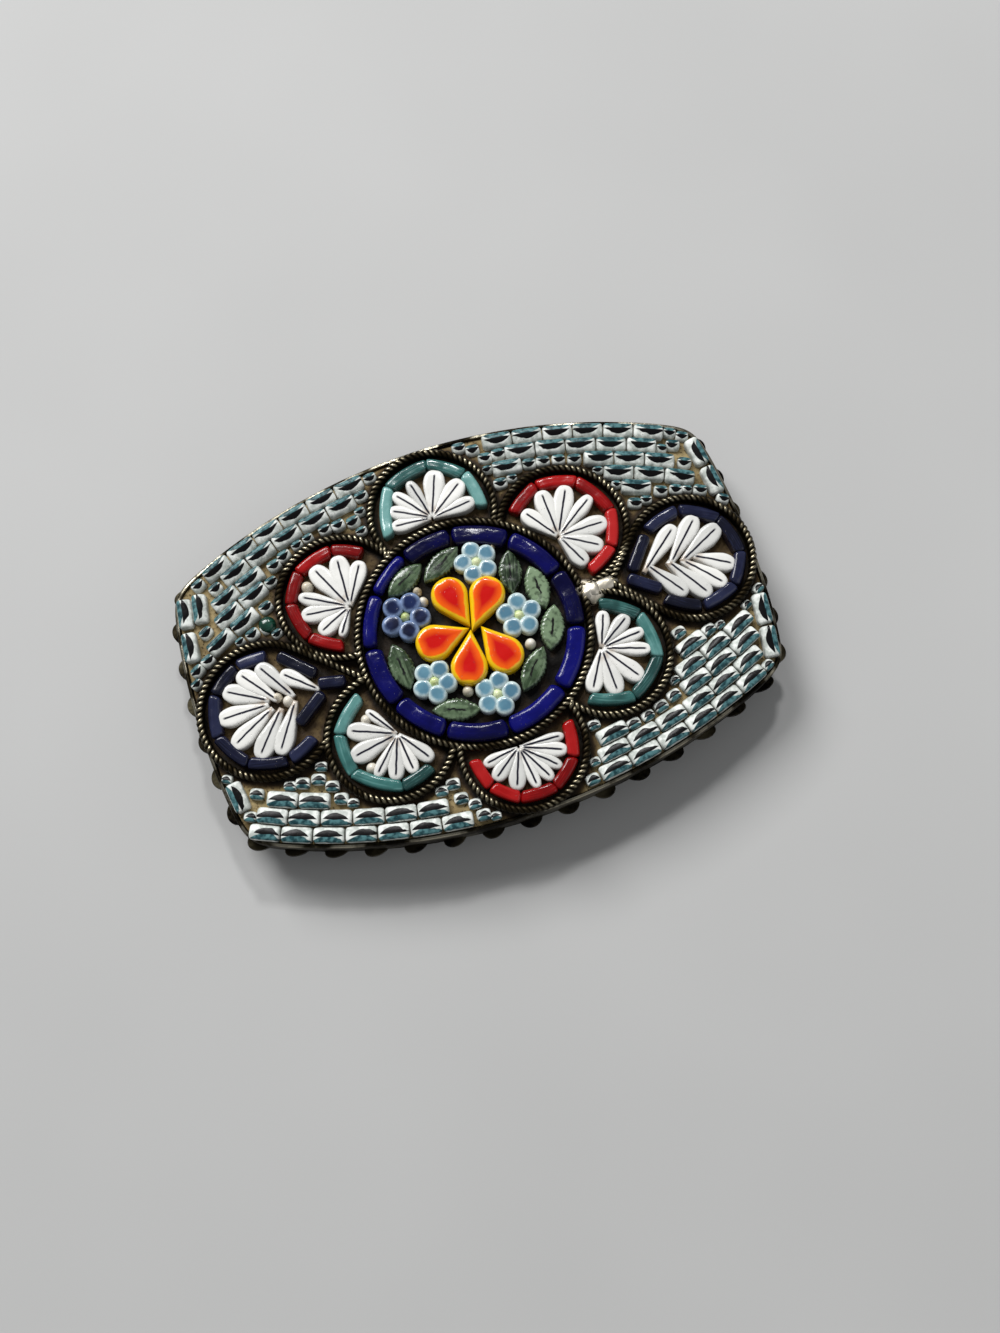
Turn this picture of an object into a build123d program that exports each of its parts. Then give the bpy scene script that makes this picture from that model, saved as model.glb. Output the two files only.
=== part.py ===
"""A micromosaic brooch: a brass tray with twisted wire cells, set with small glass stones.

Millimetres. The face looks up along +Z, the long axis lies along X, and the origin is the middle
of the brooch's footprint, on the surface that it lies on. The face is domed like the top of a
large ball, so each stone stands square to that dome.
"""
import math
import os
from collections import namedtuple

from build123d import *

os.makedirs("parts", exist_ok=True)

# Tray: a plate with a scalloped edge and a thin upright rim
tray_length = 44.8          # over the rim, at the middle of the ends
tray_width = 30.1           # over the rim, at the middle of the long sides
end_bow = 0.95              # how far each end bows out past its corners
side_bow = 4.9              # how far each long side bows out past its corners
corner_radius = 1.3
rim_wall = 0.3
rim_over_bed = 0.35         # how far the rim stands above the cement
plate_thickness = 0.5
scallop_pitch = 3.0
scallop_width = 1.9
scallop_reach = 0.6         # how far a scallop stands out past the rim

# Face: the dome, the cement that fills the cells, and the wire that walls them
face_rise = 1.2             # rise of the dome from the ends to the middle
cement_depth = 1.1          # depth of the cement at the ends
wire_width = 0.65           # twisted wire, across
wire_over_bed = 1.0         # crest of the wire above the cement
seat_gap = 0.05             # between a stone and what it sits on or beside
stone_gap = 0.12            # between two stones of one group
rim_gap = 0.13              # between the outermost bricks and the rim, which they lean towards
least_gap = 0.1             # two bricks that would come nearer leave one out
smallest_fill = 2.0         # square mm: a smaller space between wires is left empty

# Centre: a disc inside a wire ring
ring_radius = 8.8           # to the middle of the wire
ring_share = (-0.018, -0.036)   # its centre, as shares of the half length and half width
cobalt_width = 1.4
cobalt_height = 1.05
petal_height = 1.2          # orange petals
orange_room = 2.72          # from the ends of the orange petals to the cobalt bars
orange_slim = 0.616         # width of an orange petal, as a share of its length
leaf_length = 3.7
leaf_width = 1.5
leaf_height = 0.85
small_flower_radius = 1.58
small_flower_height = 0.95

# Cells round the disc: six round lobes and two drops
lobe_radius = 4.85          # to the middle of the wire
drop_neck = 3.3             # what the round part of a drop leaves between the ring and the rim
bar_width = 0.98
bar_height = 0.95
white_height = 0.85         # white petals in the lobes and drops
petal_root = 0.6            # how far a white petal starts from its hub

# Field: rows of bricks that follow the rim
brick_length = 2.25
brick_width = 1.06
brick_height = 0.9
brick_corner = 0.23         # as a share of the brick's width

# Edges of the stones are worn round, here cut as bevels
soft_share = 0.2            # the bevel, as a share of the stone's width

# Back: one plain fitting, with the pin closed
fitting_height = 2.8        # from the surface below up to the tray
fitting_length = 34.0
fitting_width = 6.0
strip_thickness = 0.5
block_length = 3.4          # hinge block and catch block
pin_diameter = 1.0
pin_over_floor = 0.45       # clear space below the pin

# Worked out from the sizes above
half_length = tray_length / 2
half_width = tray_width / 2
ring_x = ring_share[0] * half_length
ring_y = ring_share[1] * half_width
plate_top = fitting_height + plate_thickness
bed_top = plate_top + cement_depth + face_rise
dome_radius = (half_length ** 2 + face_rise ** 2) / (2 * face_rise)
dome_z = bed_top - dome_radius
ring_inside = ring_radius - wire_width / 2 - seat_gap
ring_outside = ring_radius + wire_width / 2 + seat_gap
disc_radius = ring_inside - cobalt_width - seat_gap
orange_length = disc_radius - orange_room
orange_width = orange_slim * orange_length
drop_radius = (half_length - rim_wall - ring_radius - drop_neck) / 2    # to the middle of the wire

# Tables. Turns are degrees from +X, anticlockwise seen from the front. Lengths are shares.
# A lobe's centre is given in shares of the half length and half width, its size in lobe_radius.
# Its bars fill the arc between its two feet on the ring, each with a share of that arc.
# Its white petals start round the hub, which stands off the ring by a share of lobe_radius.
Lobe = namedtuple("Lobe", "name x y size hub_turn hub_out bars petals")
# turn: where a petal points; wedge: degrees that it fills; reach: share of the way to the bars
Petal = namedtuple("Petal", "turn wedge reach")
lobes = [
    Lobe("top", -0.018, 0.641, 0.99, 91, 0.10, (0.02, 0.24, 0.45, 0.69, 0.98), [
        Petal(5, 22, 0.98), Petal(35, 28, 0.98), Petal(69, 30, 0.98), Petal(104, 17, 0.90),
        Petal(129, 18, 0.98), Petal(152, 22, 0.97), Petal(176, 22, 0.98)]),
    Lobe("upper_right", 0.388, 0.342, 1.01, 31, 0.16, (0.02, 0.19, 0.38, 0.60, 0.80, 0.99), [
        Petal(-65, 29, 0.98), Petal(-32, 28, 0.98), Petal(0, 26, 0.98), Petal(34, 17, 0.97),
        Petal(63, 25, 0.98), Petal(92, 26, 0.98), Petal(126, 28, 0.95)]),
    Lobe("lower_right", 0.384, -0.348, 0.98, -26, 0.10, (0.02, 0.27, 0.52, 0.77, 1.0), [
        Petal(-121, 26, 0.98), Petal(-90, 27, 0.98), Petal(-56, 26, 0.98), Petal(-19, 17, 0.98),
        Petal(5, 17, 0.98), Petal(33, 24, 0.98), Petal(68, 25, 0.95)]),
    Lobe("bottom", 0.012, -0.664, 0.97, -88, 0.04, (0.0, 0.19, 0.37, 0.58, 0.78, 1.0), [
        Petal(-171, 19, 0.96), Petal(-144, 26, 0.98), Petal(-111, 27, 0.98), Petal(-83, 16, 0.98),
        Petal(-62, 17, 0.98), Petal(-43, 15, 0.97), Petal(-22, 20, 0.98), Petal(-4, 13, 0.94)]),
    Lobe("lower_left", -0.394, -0.404, 0.98, 215, 0.09, (0.01, 0.25, 0.47, 0.74, 0.93), [
        Petal(125, 14, 0.80), Petal(158, 25, 0.98), Petal(190, 27, 0.98), Petal(226, 15, 0.95),
        Petal(250, 23, 0.98), Petal(276, 21, 0.98), Petal(305, 24, 1.08)]),
    Lobe("upper_left", -0.408, 0.356, 0.98, 149, 0.10, (0.06, 0.23, 0.43, 0.60, 0.80, 0.99), [
        Petal(60, 25, 0.96), Petal(87, 26, 0.98), Petal(115, 25, 0.98), Petal(150, 16, 0.96),
        Petal(173, 24, 0.98), Petal(205, 29, 0.95), Petal(238, 17, 0.90)]),
]

# A drop's round part is centred at a share of the half width, its tip stands off the ring by a
# share of drop_radius. Lengths along and across the drop are shares of its round part's radius,
# from its centre: along counts towards the tip, across counts anticlockwise from there.
Drop = namedtuple("Drop", "name side y size tip_out round_bars side_bars petals")
RoundBar = namedtuple("RoundBar", "start end")
# A side bar stands in a drop's tip: along is a share of the way from the centre to the tip, across
# a share of the half opening there, twist its turn from the straight wire on that side, and length
# a share of that wire.
SideBar = namedtuple("SideBar", "along across twist length")
# reach: share of the way from the petal's root to the bars
DropPetal = namedtuple("DropPetal", "along across turn reach width")
drops = [
    Drop("right", 1, -0.008, 0.97, 0.39, [
        RoundBar(-143, -96), RoundBar(-95, -51), RoundBar(-50, -11), RoundBar(-10, 35),
        RoundBar(36, 83), RoundBar(84, 130)],
        [SideBar(0.57, -0.49, -3, 0.62), SideBar(0.63, 0.34, 12, 0.54)], [
        DropPetal(0.75, -0.07, 39, 0.82, 0.24), DropPetal(0.28, -0.08, 44, 0.98, 0.27),
        DropPetal(0.06, -0.03, 26, 0.98, 0.28), DropPetal(0.70, 0.0, -55, 0.90, 0.245),
        DropPetal(0.34, 0.05, -58, 0.98, 0.27), DropPetal(0.08, 0.09, -48, 0.98, 0.23),
        DropPetal(-0.14, 0.04, -30, 0.98, 0.25)]),
    Drop("left", -1, -0.075, 1.02, -0.02, [
        RoundBar(73, 107), RoundBar(108, 144), RoundBar(146, 189),
        RoundBar(191, 232), RoundBar(233, 275), RoundBar(277, 313)],
        [SideBar(0.42, 0.64, -2, 0.53), SideBar(0.42, -0.24, 8, 0.465),
         SideBar(0.70, 0.20, 29, 0.31)], [
        DropPetal(0.79, 0.12, 138, 0.58, 0.19), DropPetal(0.405, 0.17, 121, 0.98, 0.235),
        DropPetal(0.14, 0.19, 127, 0.98, 0.25), DropPetal(-0.02, 0.20, 150, 0.98, 0.25),
        DropPetal(-0.07, 0.08, 179, 0.98, 0.25), DropPetal(-0.01, -0.05, 207, 0.98, 0.25),
        DropPetal(0.15, -0.13, 229, 0.98, 0.26), DropPetal(0.41, -0.10, 237, 0.97, 0.24)]),
]

# Cobalt bars round the disc: where each begins and ends, and its share of cobalt_width
CobaltBar = namedtuple("CobaltBar", "start end width")
cobalt_bars = [
    CobaltBar(18, 52, 1.0), CobaltBar(52, 85, 1.0), CobaltBar(85, 114, 0.95), CobaltBar(114, 140, 0.6),
    CobaltBar(140, 171, 0.75), CobaltBar(171, 205, 1.0), CobaltBar(205, 236, 1.0),
    CobaltBar(236, 271, 1.0), CobaltBar(271, 308, 1.0), CobaltBar(308, 345, 1.0),
    CobaltBar(345, 378, 1.0)]

# In the disc: places are shares of disc_radius from the ring's centre
OrangePetal = namedtuple("OrangePetal", "x y turn length width")
orange_petals = [
    OrangePetal(-0.03, 0.10, 104.6, 0.95, 1.0), OrangePetal(0.0, 0.035, 50, 1.0, 0.98),
    OrangePetal(-0.075, 0.05, 185, 0.94, 1.0), OrangePetal(-0.04, 0.0, 249.5, 0.95, 1.0),
    OrangePetal(0.10, 0.0, 291, 0.95, 1.03)]
SmallFlower = namedtuple("SmallFlower", "x y turn size")
small_flowers = [
    SmallFlower(-0.655, 0.40, 52, 1.12), SmallFlower(0.27, 0.74, 95, 0.97),
    SmallFlower(0.52, 0.02, 80, 1.0), SmallFlower(-0.58, -0.385, 50, 0.98),
    SmallFlower(0.02, -0.73, 66, 1.0)]
Leaf = namedtuple("Leaf", "x y turn length width")
leaves = [
    Leaf(-0.53, 0.80, 27, 0.92, 0.90), Leaf(-0.10, 0.845, 29, 0.98, 0.88), Leaf(0.59, 0.52, 77, 0.90, 0.93),
    Leaf(0.815, 0.26, 92, 0.92, 0.97), Leaf(0.82, -0.22, 67, 0.92, 0.98), Leaf(0.48, -0.59, 48, 0.97, 0.9),
    Leaf(-0.45, -0.75, -17, 0.95, 0.9), Leaf(-0.865, -0.11, 93, 0.98, 0.98)]

# A field's rows run beside one long side, outermost first. Each row's phase shifts its bricks
# along, as a share of one brick. Its column stands at the end, with the places of its bricks
# as shares of the half width. Long and wide are its bricks' shares of brick_length and brick_width.
Field = namedtuple("Field", "name side_x side_y long wide phases column second_column")
fields = [
    Field("upper_left", -1, 1, 1.0, 1.0, (0.46, 0.90, 0.50, 0.56, 0.10), (0.545, 0.368), (0.545,)),
    Field("upper_right", 1, 1, 1.0, 1.0, (0.60, 0.20, 0.62, 0.10, 0.50), (0.53, 0.358), ()),
    Field("lower_right", 1, -1, 1.05, 1.04, (0.50, 0.64, 0.76, 0.78, 0.06), (-0.545, -0.372), ()),
    Field("lower_left", -1, -1, 1.0, 1.08, (0.54, 0.14, 0.66, 0.10, 0.50), (-0.44,), ()),
]


def sin(turn):
    return math.sin(math.radians(turn))


def cos(turn):
    return math.cos(math.radians(turn))


# Dome

def dome(lift):
    """A ball whose top is the face's dome, raised by lift over the cement."""
    return Pos(0, 0, dome_z) * Rot(90, 0, 0) * Sphere(dome_radius + lift)


def seat(x, y, turn=0.0, lift=seat_gap):
    """The plane of a stone that sits on the cement at x, y, turned about the dome's normal."""
    height = math.sqrt(dome_radius ** 2 - x ** 2 - y ** 2)
    normal = Vector(x, y, height) / dome_radius
    foot = Vector(x, y, dome_z + height) + normal * lift
    return Plane(origin=foot, x_dir=(cos(turn), sin(turn), 0), z_dir=normal)


# Outlines, each in its own plane with its long axis along X

def side_arc(inset):
    """Radius and centre height of the arc of the top long side, inset from the outside."""
    radius = ((half_length - end_bow) ** 2 + side_bow ** 2) / (2 * side_bow)
    return radius - inset, half_width - radius


def end_arc(inset):
    """Radius and centre offset of the arc of the right end, inset from the outside."""
    radius = ((half_width - side_bow) ** 2 + end_bow ** 2) / (2 * end_bow)
    return radius - inset, half_length - radius


def shoulder(inset):
    """Where the arc of the top long side crosses the arc of the right end."""
    side_radius, side_y = side_arc(inset)
    end_radius, end_x = end_arc(inset)
    distance = math.hypot(end_x, side_y)
    along = (side_radius ** 2 - end_radius ** 2 + distance ** 2) / (2 * distance)
    off = math.sqrt(side_radius ** 2 - along ** 2)
    return (end_x * along - side_y * off) / distance, side_y + (-side_y * along - end_x * off) / distance


def rim_outline(inset):
    """The tray seen from the front, inset from the outside of the rim."""
    along, up = half_length - inset, half_width - inset
    side, end = shoulder(inset)
    top = ThreePointArc((side, end), (0, up), (-side, end))
    left = ThreePointArc((-side, end), (-along, 0), (-side, -end))
    bottom = ThreePointArc((-side, -end), (0, -up), (side, -end))
    right = ThreePointArc((side, -end), (along, 0), (side, end))
    outline = make_face([top, left, bottom, right])
    return fillet(outline.vertices(), corner_radius)


def drop_outline(radius, tip):
    """A circle at the origin, drawn out to a tip at tip along +X."""
    lean = math.degrees(math.acos(radius / tip))
    touch = (radius * cos(lean), radius * sin(lean))
    arc = ThreePointArc(touch, (-radius, 0), (touch[0], -touch[1]))
    return make_face([arc, Line((touch[0], -touch[1]), (tip, 0)), Line((tip, 0), touch)])


def petal_outline(length, width):
    """A petal with its pointed root at the origin and its round end at length along +X."""
    middle = length - width / 2
    return Pos(middle, 0) * Rot(0, 0, 180) * drop_outline(width / 2, middle)


def leaf_outline(length, width):
    """Two arcs that meet in points at both ends, centred."""
    edges = [
        ThreePointArc((-length / 2, 0), (0, width / 2), (length / 2, 0)),
        ThreePointArc((length / 2, 0), (0, -width / 2), (-length / 2, 0))]
    return make_face(edges)


def arc_bar_outline(inner, outer, start, end):
    """A stretch of a ring, with its corners rounded."""
    middle = (start + end) / 2
    edges = [
        ThreePointArc(polar(outer, start), polar(outer, middle), polar(outer, end)),
        Line(polar(outer, end), polar(inner, end)),
        ThreePointArc(polar(inner, end), polar(inner, middle), polar(inner, start)),
        Line(polar(inner, start), polar(outer, start))]
    outline = make_face(edges)
    return fillet(outline.vertices(), (outer - inner) * 0.25)


def polar(radius, turn):
    return (radius * cos(turn), radius * sin(turn))


# Stones

def stone(outline, height, width):
    """A stone of this outline and width with a bevelled top."""
    body = extrude(outline, amount=height)
    top = body.faces().sort_by(Axis.Z)[-1]
    return chamfer(top.edges(), soft_share * width)


def ring_feet(x, y, radius, clear):
    """The two turns, about x, y, at which a circle of this radius comes clear of the ring."""
    across, up = ring_x - x, ring_y - y
    distance = math.hypot(across, up)
    reach = ring_outside + clear
    bend = (distance ** 2 + radius ** 2 - reach ** 2) / (2 * distance * radius)
    half = math.degrees(math.acos(bend))
    inward = math.degrees(math.atan2(up, across))
    return inward + half, inward + 360 - half


def lobe_centre(lobe):
    return lobe.x * half_length, lobe.y * half_width


# A bar that is bent along the inside of a round wire: the wire's centre, the bar's outer radius,
# and where it starts and ends
BentBar = namedtuple("BentBar", "x y outer start end")


def wire_inside(x, y, radius):
    """Radius of the room inside a round wire. A bar stands square to the dome, so it leans
    outwards as far as its upright side is tall."""
    side = bar_height - soft_share * bar_width
    lean = side * (math.hypot(x, y) + radius) / dome_radius
    return radius - wire_width / 2 - seat_gap - lean


def lobe_inside(lobe):
    return wire_inside(*lobe_centre(lobe), lobe.size * lobe_radius)


def lobe_bars(lobe):
    """Bent bars along the inside of a lobe's wire."""
    x, y = lobe_centre(lobe)
    outer = lobe_inside(lobe)
    first, last = ring_feet(x, y, outer - bar_width / 2, bar_width / 2)
    turns = [first + share * (last - first) for share in lobe.bars]
    return [BentBar(x, y, outer, start, end) for start, end in zip(turns, turns[1:])]


def lobe_hub(lobe):
    out = ring_outside + lobe.hub_out * lobe_radius
    return ring_x + out * cos(lobe.hub_turn), ring_y + out * sin(lobe.hub_turn)


def lobe_petals(lobe):
    """White petals of a lobe, as root places, turns, lengths and widths.

    A petal fills its wedge as far out as its round end stays clear of the bars: that end is a
    circle that touches both sides of the wedge, so its radius grows with its distance.
    """
    x, y = lobe_centre(lobe)
    hub_x, hub_y = lobe_hub(lobe)
    room = lobe_inside(lobe) - bar_width - seat_gap + stone_gap / 2
    off = math.hypot(hub_x - x, hub_y - y)
    places = []
    for petal in lobe.petals:
        spread = sin(petal.wedge / 2)
        outward = (hub_x - x) * cos(petal.turn) + (hub_y - y) * sin(petal.turn) + room * spread
        closing = 1 - spread ** 2
        middle = (math.sqrt(outward ** 2 + closing * (room ** 2 - off ** 2)) - outward) / closing
        middle *= petal.reach
        end = middle * spread - stone_gap / 2
        root = (hub_x + petal_root * cos(petal.turn), hub_y + petal_root * sin(petal.turn))
        places.append((root[0], root[1], petal.turn, middle + end - petal_root, 2 * end))
    return places


def drop_centre(drop):
    radius = drop.size * drop_radius
    return drop.side * (half_length - rim_wall - radius), drop.y * half_width


def drop_frame(drop):
    """Centre of a drop's round part, the turn towards its tip, and how far off the tip is."""
    x, y = drop_centre(drop)
    tip_x = ring_x + drop.side * (ring_outside + drop.tip_out * drop_radius)
    return x, y, 90 + 90 * drop.side, abs(tip_x - x)


def drop_place(drop, along, across):
    """A point given along and across a drop."""
    x, y, turn, _ = drop_frame(drop)
    unit = drop.size * drop_radius - wire_width / 2
    return (x + unit * (along * cos(turn) - across * sin(turn)),
            y + unit * (along * sin(turn) + across * cos(turn)))


def drop_inside(drop):
    return wire_inside(*drop_centre(drop), drop.size * drop_radius)


def drop_round_bars(drop):
    """Bent bars along the inside of a drop's round wire."""
    x, y = drop_centre(drop)
    return [BentBar(x, y, drop_inside(drop), bar.start, bar.end) for bar in drop.round_bars]


def drop_side_bars(drop):
    """Straight bars in a drop's tip, as places, turns, lengths and widths."""
    x, y, tip_turn, tip = drop_frame(drop)
    radius = drop.size * drop_radius
    side = math.sqrt(tip ** 2 - radius ** 2)
    lean = math.degrees(math.acos(radius / tip))
    places = []
    for bar in drop.side_bars:
        along = bar.along * tip
        across = bar.across * (tip - along) * radius / side
        bar_x = x + along * cos(tip_turn) - across * sin(tip_turn)
        bar_y = y + along * sin(tip_turn) + across * cos(tip_turn)
        faces = tip_turn + math.copysign(lean + bar.twist, bar.across)
        places.append((bar_x, bar_y, faces + 90, bar.length * side, bar_width))
    return places


def drop_petals(drop):
    """White petals of a drop, as root places, turns, lengths and widths."""
    x, y, _, _ = drop_frame(drop)
    unit = drop.size * drop_radius - wire_width / 2
    places = []
    for petal in drop.petals:
        root_x, root_y = drop_place(drop, petal.along, petal.across)
        end = petal.width * unit / 2
        room = drop_inside(drop) - bar_width - seat_gap - end
        outward = (root_x - x) * cos(petal.turn) + (root_y - y) * sin(petal.turn)
        off = math.hypot(root_x - x, root_y - y)
        middle = math.sqrt(outward ** 2 + room ** 2 - off ** 2) - outward
        places.append((root_x, root_y, petal.turn, petal.reach * middle + end, 2 * end))
    return places


def disc_place(x, y):
    return ring_x + x * disc_radius, ring_y + y * disc_radius


# Field: bricks are laid by rule and kept where they stand clear

def corners(x, y, turn, length, width):
    """The corners of a turned rectangle."""
    along, across = length / 2, width / 2
    places = [(a * along, b * across) for a, b in ((1, 1), (-1, 1), (-1, -1), (1, -1))]
    return [(x + a * cos(turn) - b * sin(turn), y + a * sin(turn) + b * cos(turn)) for a, b in places]


def sample_edge(brick):
    """Points round a brick's outline, five to a side."""
    points = corners(*brick)
    return [(p[0] + (q[0] - p[0]) * share, p[1] + (q[1] - p[1]) * share)
            for p, q in zip(points, points[1:] + points[:1]) for share in (0, 0.2, 0.4, 0.6, 0.8)]


def brick_distance(brick, x, y):
    """How far a point lies from a brick's outline."""
    centre_x, centre_y, turn, length, width = brick
    along = abs((x - centre_x) * cos(turn) + (y - centre_y) * sin(turn)) - length / 2
    across = abs((y - centre_y) * cos(turn) - (x - centre_x) * sin(turn)) - width / 2
    return math.hypot(max(along, 0), max(across, 0))


def inside_drop(drop, x, y, clear):
    """Whether a point is less than clear outside a drop's outline."""
    cx, cy, turn, tip = drop_frame(drop)
    along = (x - cx) * cos(turn) + (y - cy) * sin(turn)
    across = abs(-(x - cx) * sin(turn) + (y - cy) * cos(turn))
    radius = drop.size * drop_radius
    lean = math.degrees(math.acos(radius / tip))
    if along * sin(lean) - across * cos(lean) > 0 and along > 0:
        return along * cos(lean) + across * sin(lean) < radius + clear
    return math.hypot(along, across) < radius + clear


def clear_of_wires(brick, clear):
    """Whether a brick stands clear of the ring, the lobes and the drops."""
    rounds = [(ring_x, ring_y, ring_radius)]
    rounds += [(*lobe_centre(lobe), lobe.size * lobe_radius) for lobe in lobes]
    if any(brick_distance(brick, x, y) < radius + clear for x, y, radius in rounds):
        return False
    return not any(inside_drop(drop, x, y, clear) for drop in drops for x, y in sample_edge(brick))


def inside_rim(brick):
    """Whether a brick stands inside the rim's four arcs."""
    side_radius, side_y = side_arc(rim_wall)
    end_radius, end_x = end_arc(rim_wall)
    return all(math.hypot(x, abs(y) - side_y) < side_radius and math.hypot(abs(x) - end_x, y) < end_radius
               for x, y in sample_edge(brick))


def apart(one, other, clear):
    """Whether two bricks are at least clear apart, seen along the sides of either."""
    first, second = corners(*one), corners(*other)
    for turn in (one[2], one[2] + 90, other[2], other[2] + 90):
        near = [x * cos(turn) + y * sin(turn) for x, y in first]
        far = [x * cos(turn) + y * sin(turn) for x, y in second]
        if max(near) + clear <= min(far) or max(far) + clear <= min(near):
            return True
    return False


def field_bricks(field):
    """The bricks of one field: the column at its end first, then its rows from the rim in."""
    wire_clear = wire_width / 2 + seat_gap
    length, width = field.long * brick_length, field.wide * brick_width
    bricks = []
    for depth, column in enumerate((field.column, field.second_column)):
        inset = rim_wall + rim_gap + (width + stone_gap) * depth + width / 2
        radius, middle = end_arc(inset)
        for share in column:
            lift = math.degrees(math.asin(share * half_width / radius))
            x, y = middle + radius * cos(lift), radius * sin(lift)
            turn = 90 + lift
            if field.side_x < 0:
                x, turn = -x, 180 - turn
            bricks.append((x, y, turn, length, width))
    for row, phase in enumerate(field.phases):
        inset = rim_wall + rim_gap + width / 2 + (width + stone_gap) * row
        radius, middle = side_arc(inset)
        step = math.degrees((length + stone_gap) / (radius - width / 2))
        lean = phase * step
        while radius * sin(lean) < half_length:
            x, y = field.side_x * radius * sin(lean), field.side_y * (middle + radius * cos(lean))
            brick = (x, y, -lean * field.side_x * field.side_y, length, width)
            if inside_rim(brick) and clear_of_wires(brick, wire_clear):
                if all(apart(brick, other, least_gap) for other in bricks):
                    bricks.append(brick)
            lean += step
    return bricks


# Solids

def wire_bands(slack):
    """The wires seen from the front, as one flat shape, each side widened by slack."""
    half = wire_width / 2 + slack
    bands = Pos(ring_x, ring_y) * (Circle(ring_radius + half) - Circle(ring_radius - half))
    ring = Pos(ring_x, ring_y) * Circle(ring_radius)
    cells = [ring]
    for lobe in lobes:
        radius = lobe.size * lobe_radius
        band = Pos(*lobe_centre(lobe)) * (Circle(radius + half) - Circle(radius - half))
        bands += band - ring
        cells.append(Pos(*lobe_centre(lobe)) * Circle(radius))
    for drop in drops:
        x, y, turn, tip = drop_frame(drop)
        radius = drop.size * drop_radius
        lean = math.degrees(math.acos(radius / tip))
        out = half / cos(lean)
        band = drop_outline(radius + half, tip + out) - drop_outline(radius - half, tip - out)
        band = Pos(x, y) * Rot(0, 0, turn) * band
        for cell in cells:
            band -= cell
        bands += band
    return bands


def scallops():
    """Round tabs along the edge of the plate."""
    edge = rim_outline(0).face().outer_wire()
    count = round(edge.length / scallop_pitch)
    radius = scallop_width / 2
    tabs = Sketch()
    for index in range(count):
        place = edge.position_at(index / count)
        inward = Vector(-place.X / half_length ** 2, -place.Y / half_width ** 2).normalized()
        centre = place + inward * (radius - scallop_reach)
        tabs += Pos(centre.X, centre.Y) * Circle(radius)
    return tabs


def upright(outline, lift):
    """Walls of this outline, from inside the plate up to lift above the cement."""
    foot = plate_top - plate_thickness / 2
    body = Pos(0, 0, foot) * extrude(outline, amount=bed_top - foot + face_rise + wire_over_bed)
    return body & dome(lift)


def make_tray():
    """Plate with scalloped edge, rim and cell wires, soldered into one."""
    inside = rim_outline(rim_wall)
    plate = Pos(0, 0, fitting_height) * extrude(rim_outline(0) + scallops(), amount=plate_thickness)
    rim = upright(rim_outline(0) - inside, rim_over_bed)
    wires = upright(wire_bands(0) & rim_outline(0), wire_over_bed)
    return plate + rim + wires


def make_cement():
    """The fill of each cell, between the wires and the rim."""
    floor = rim_outline(rim_wall + seat_gap) - wire_bands(seat_gap)
    foot = plate_top + seat_gap
    fills = []
    for cell in floor.faces():
        if cell.area > smallest_fill:
            fill = Pos(0, 0, foot) * extrude(cell, amount=bed_top - foot + face_rise)
            fills.append(fill & dome(0))
    return fills


def make_fitting():
    """Strip, hinge block, catch block and closed pin in one piece."""
    top = fitting_height - seat_gap
    strip = Pos(0, 0, top - strip_thickness / 2) * Box(fitting_length, fitting_width, strip_thickness)
    strip = fillet(strip.edges().filter_by(Axis.Z), fitting_width * 0.3)
    block_height = top - strip_thickness / 2
    out = fitting_length / 2 - block_length / 2 - fitting_width * 0.1
    block = Pos(0, 0, block_height / 2) * Box(block_length, fitting_width * 0.9, block_height)
    block = chamfer(block.edges().filter_by(Axis.X), block_length * 0.1)
    pin = Pos(-out, 0, pin_over_floor + pin_diameter / 2) * Rot(0, 90, 0) * Cylinder(
        pin_diameter / 2, 2 * out, align=(Align.CENTER, Align.CENTER, Align.MIN))
    return strip + Pos(-out, 0) * block + Pos(out, 0) * block + pin


def make_bent_bar(bar):
    """One bar bent along a round wire."""
    inner, middle = bar.outer - bar_width, bar.outer - bar_width / 2
    turn = (bar.start + bar.end) / 2
    half = (bar.end - bar.start) / 2 - math.degrees(stone_gap / 2 / inner)
    body = Pos(-middle, 0) * stone(arc_bar_outline(inner, bar.outer, -half, half), bar_height, bar_width)
    return seat(bar.x + middle * cos(turn), bar.y + middle * sin(turn), turn).location * body


def set_stones(places, height, outline):
    """Stones of one group, each seated at its place. outline makes one from length and width."""
    stones = []
    for x, y, turn, length, width in places:
        stones.append(seat(x, y, turn).location * stone(outline(length, width), height, width))
    return stones


def bar_outline(length, width):
    return RectangleRounded(length, width, width * 0.3)


def brick_outline(length, width):
    return RectangleRounded(length, width, brick_corner * width)


def make_flower(flower):
    """Five round petals about a seat."""
    x, y = disc_place(flower.x, flower.y)
    radius = flower.size * small_flower_radius
    spacing = 2 * sin(36)
    petal = (radius * spacing - stone_gap) / (2 + spacing)
    out = radius - petal
    place = seat(x, y, flower.turn).location
    body = stone(Circle(petal), small_flower_height, 2 * petal)
    return [place * Pos(out * cos(turn), out * sin(turn)) * body for turn in range(0, 360, 72)]


def make_cobalt(bar):
    """One curved bar along the ring's wire."""
    width = cobalt_width * bar.width
    inner = ring_inside - width
    trim = math.degrees(stone_gap / 2 / inner)
    outline = arc_bar_outline(inner, ring_inside, bar.start + trim, bar.end - trim)
    return seat(ring_x, ring_y).location * stone(outline, cobalt_height, width)


def save(name, solids):
    solids = solids if isinstance(solids, list) else [solids]
    shape = solids[0] if len(solids) == 1 else Compound(children=solids)
    export_step(shape, f"parts/{name}.step")


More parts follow.
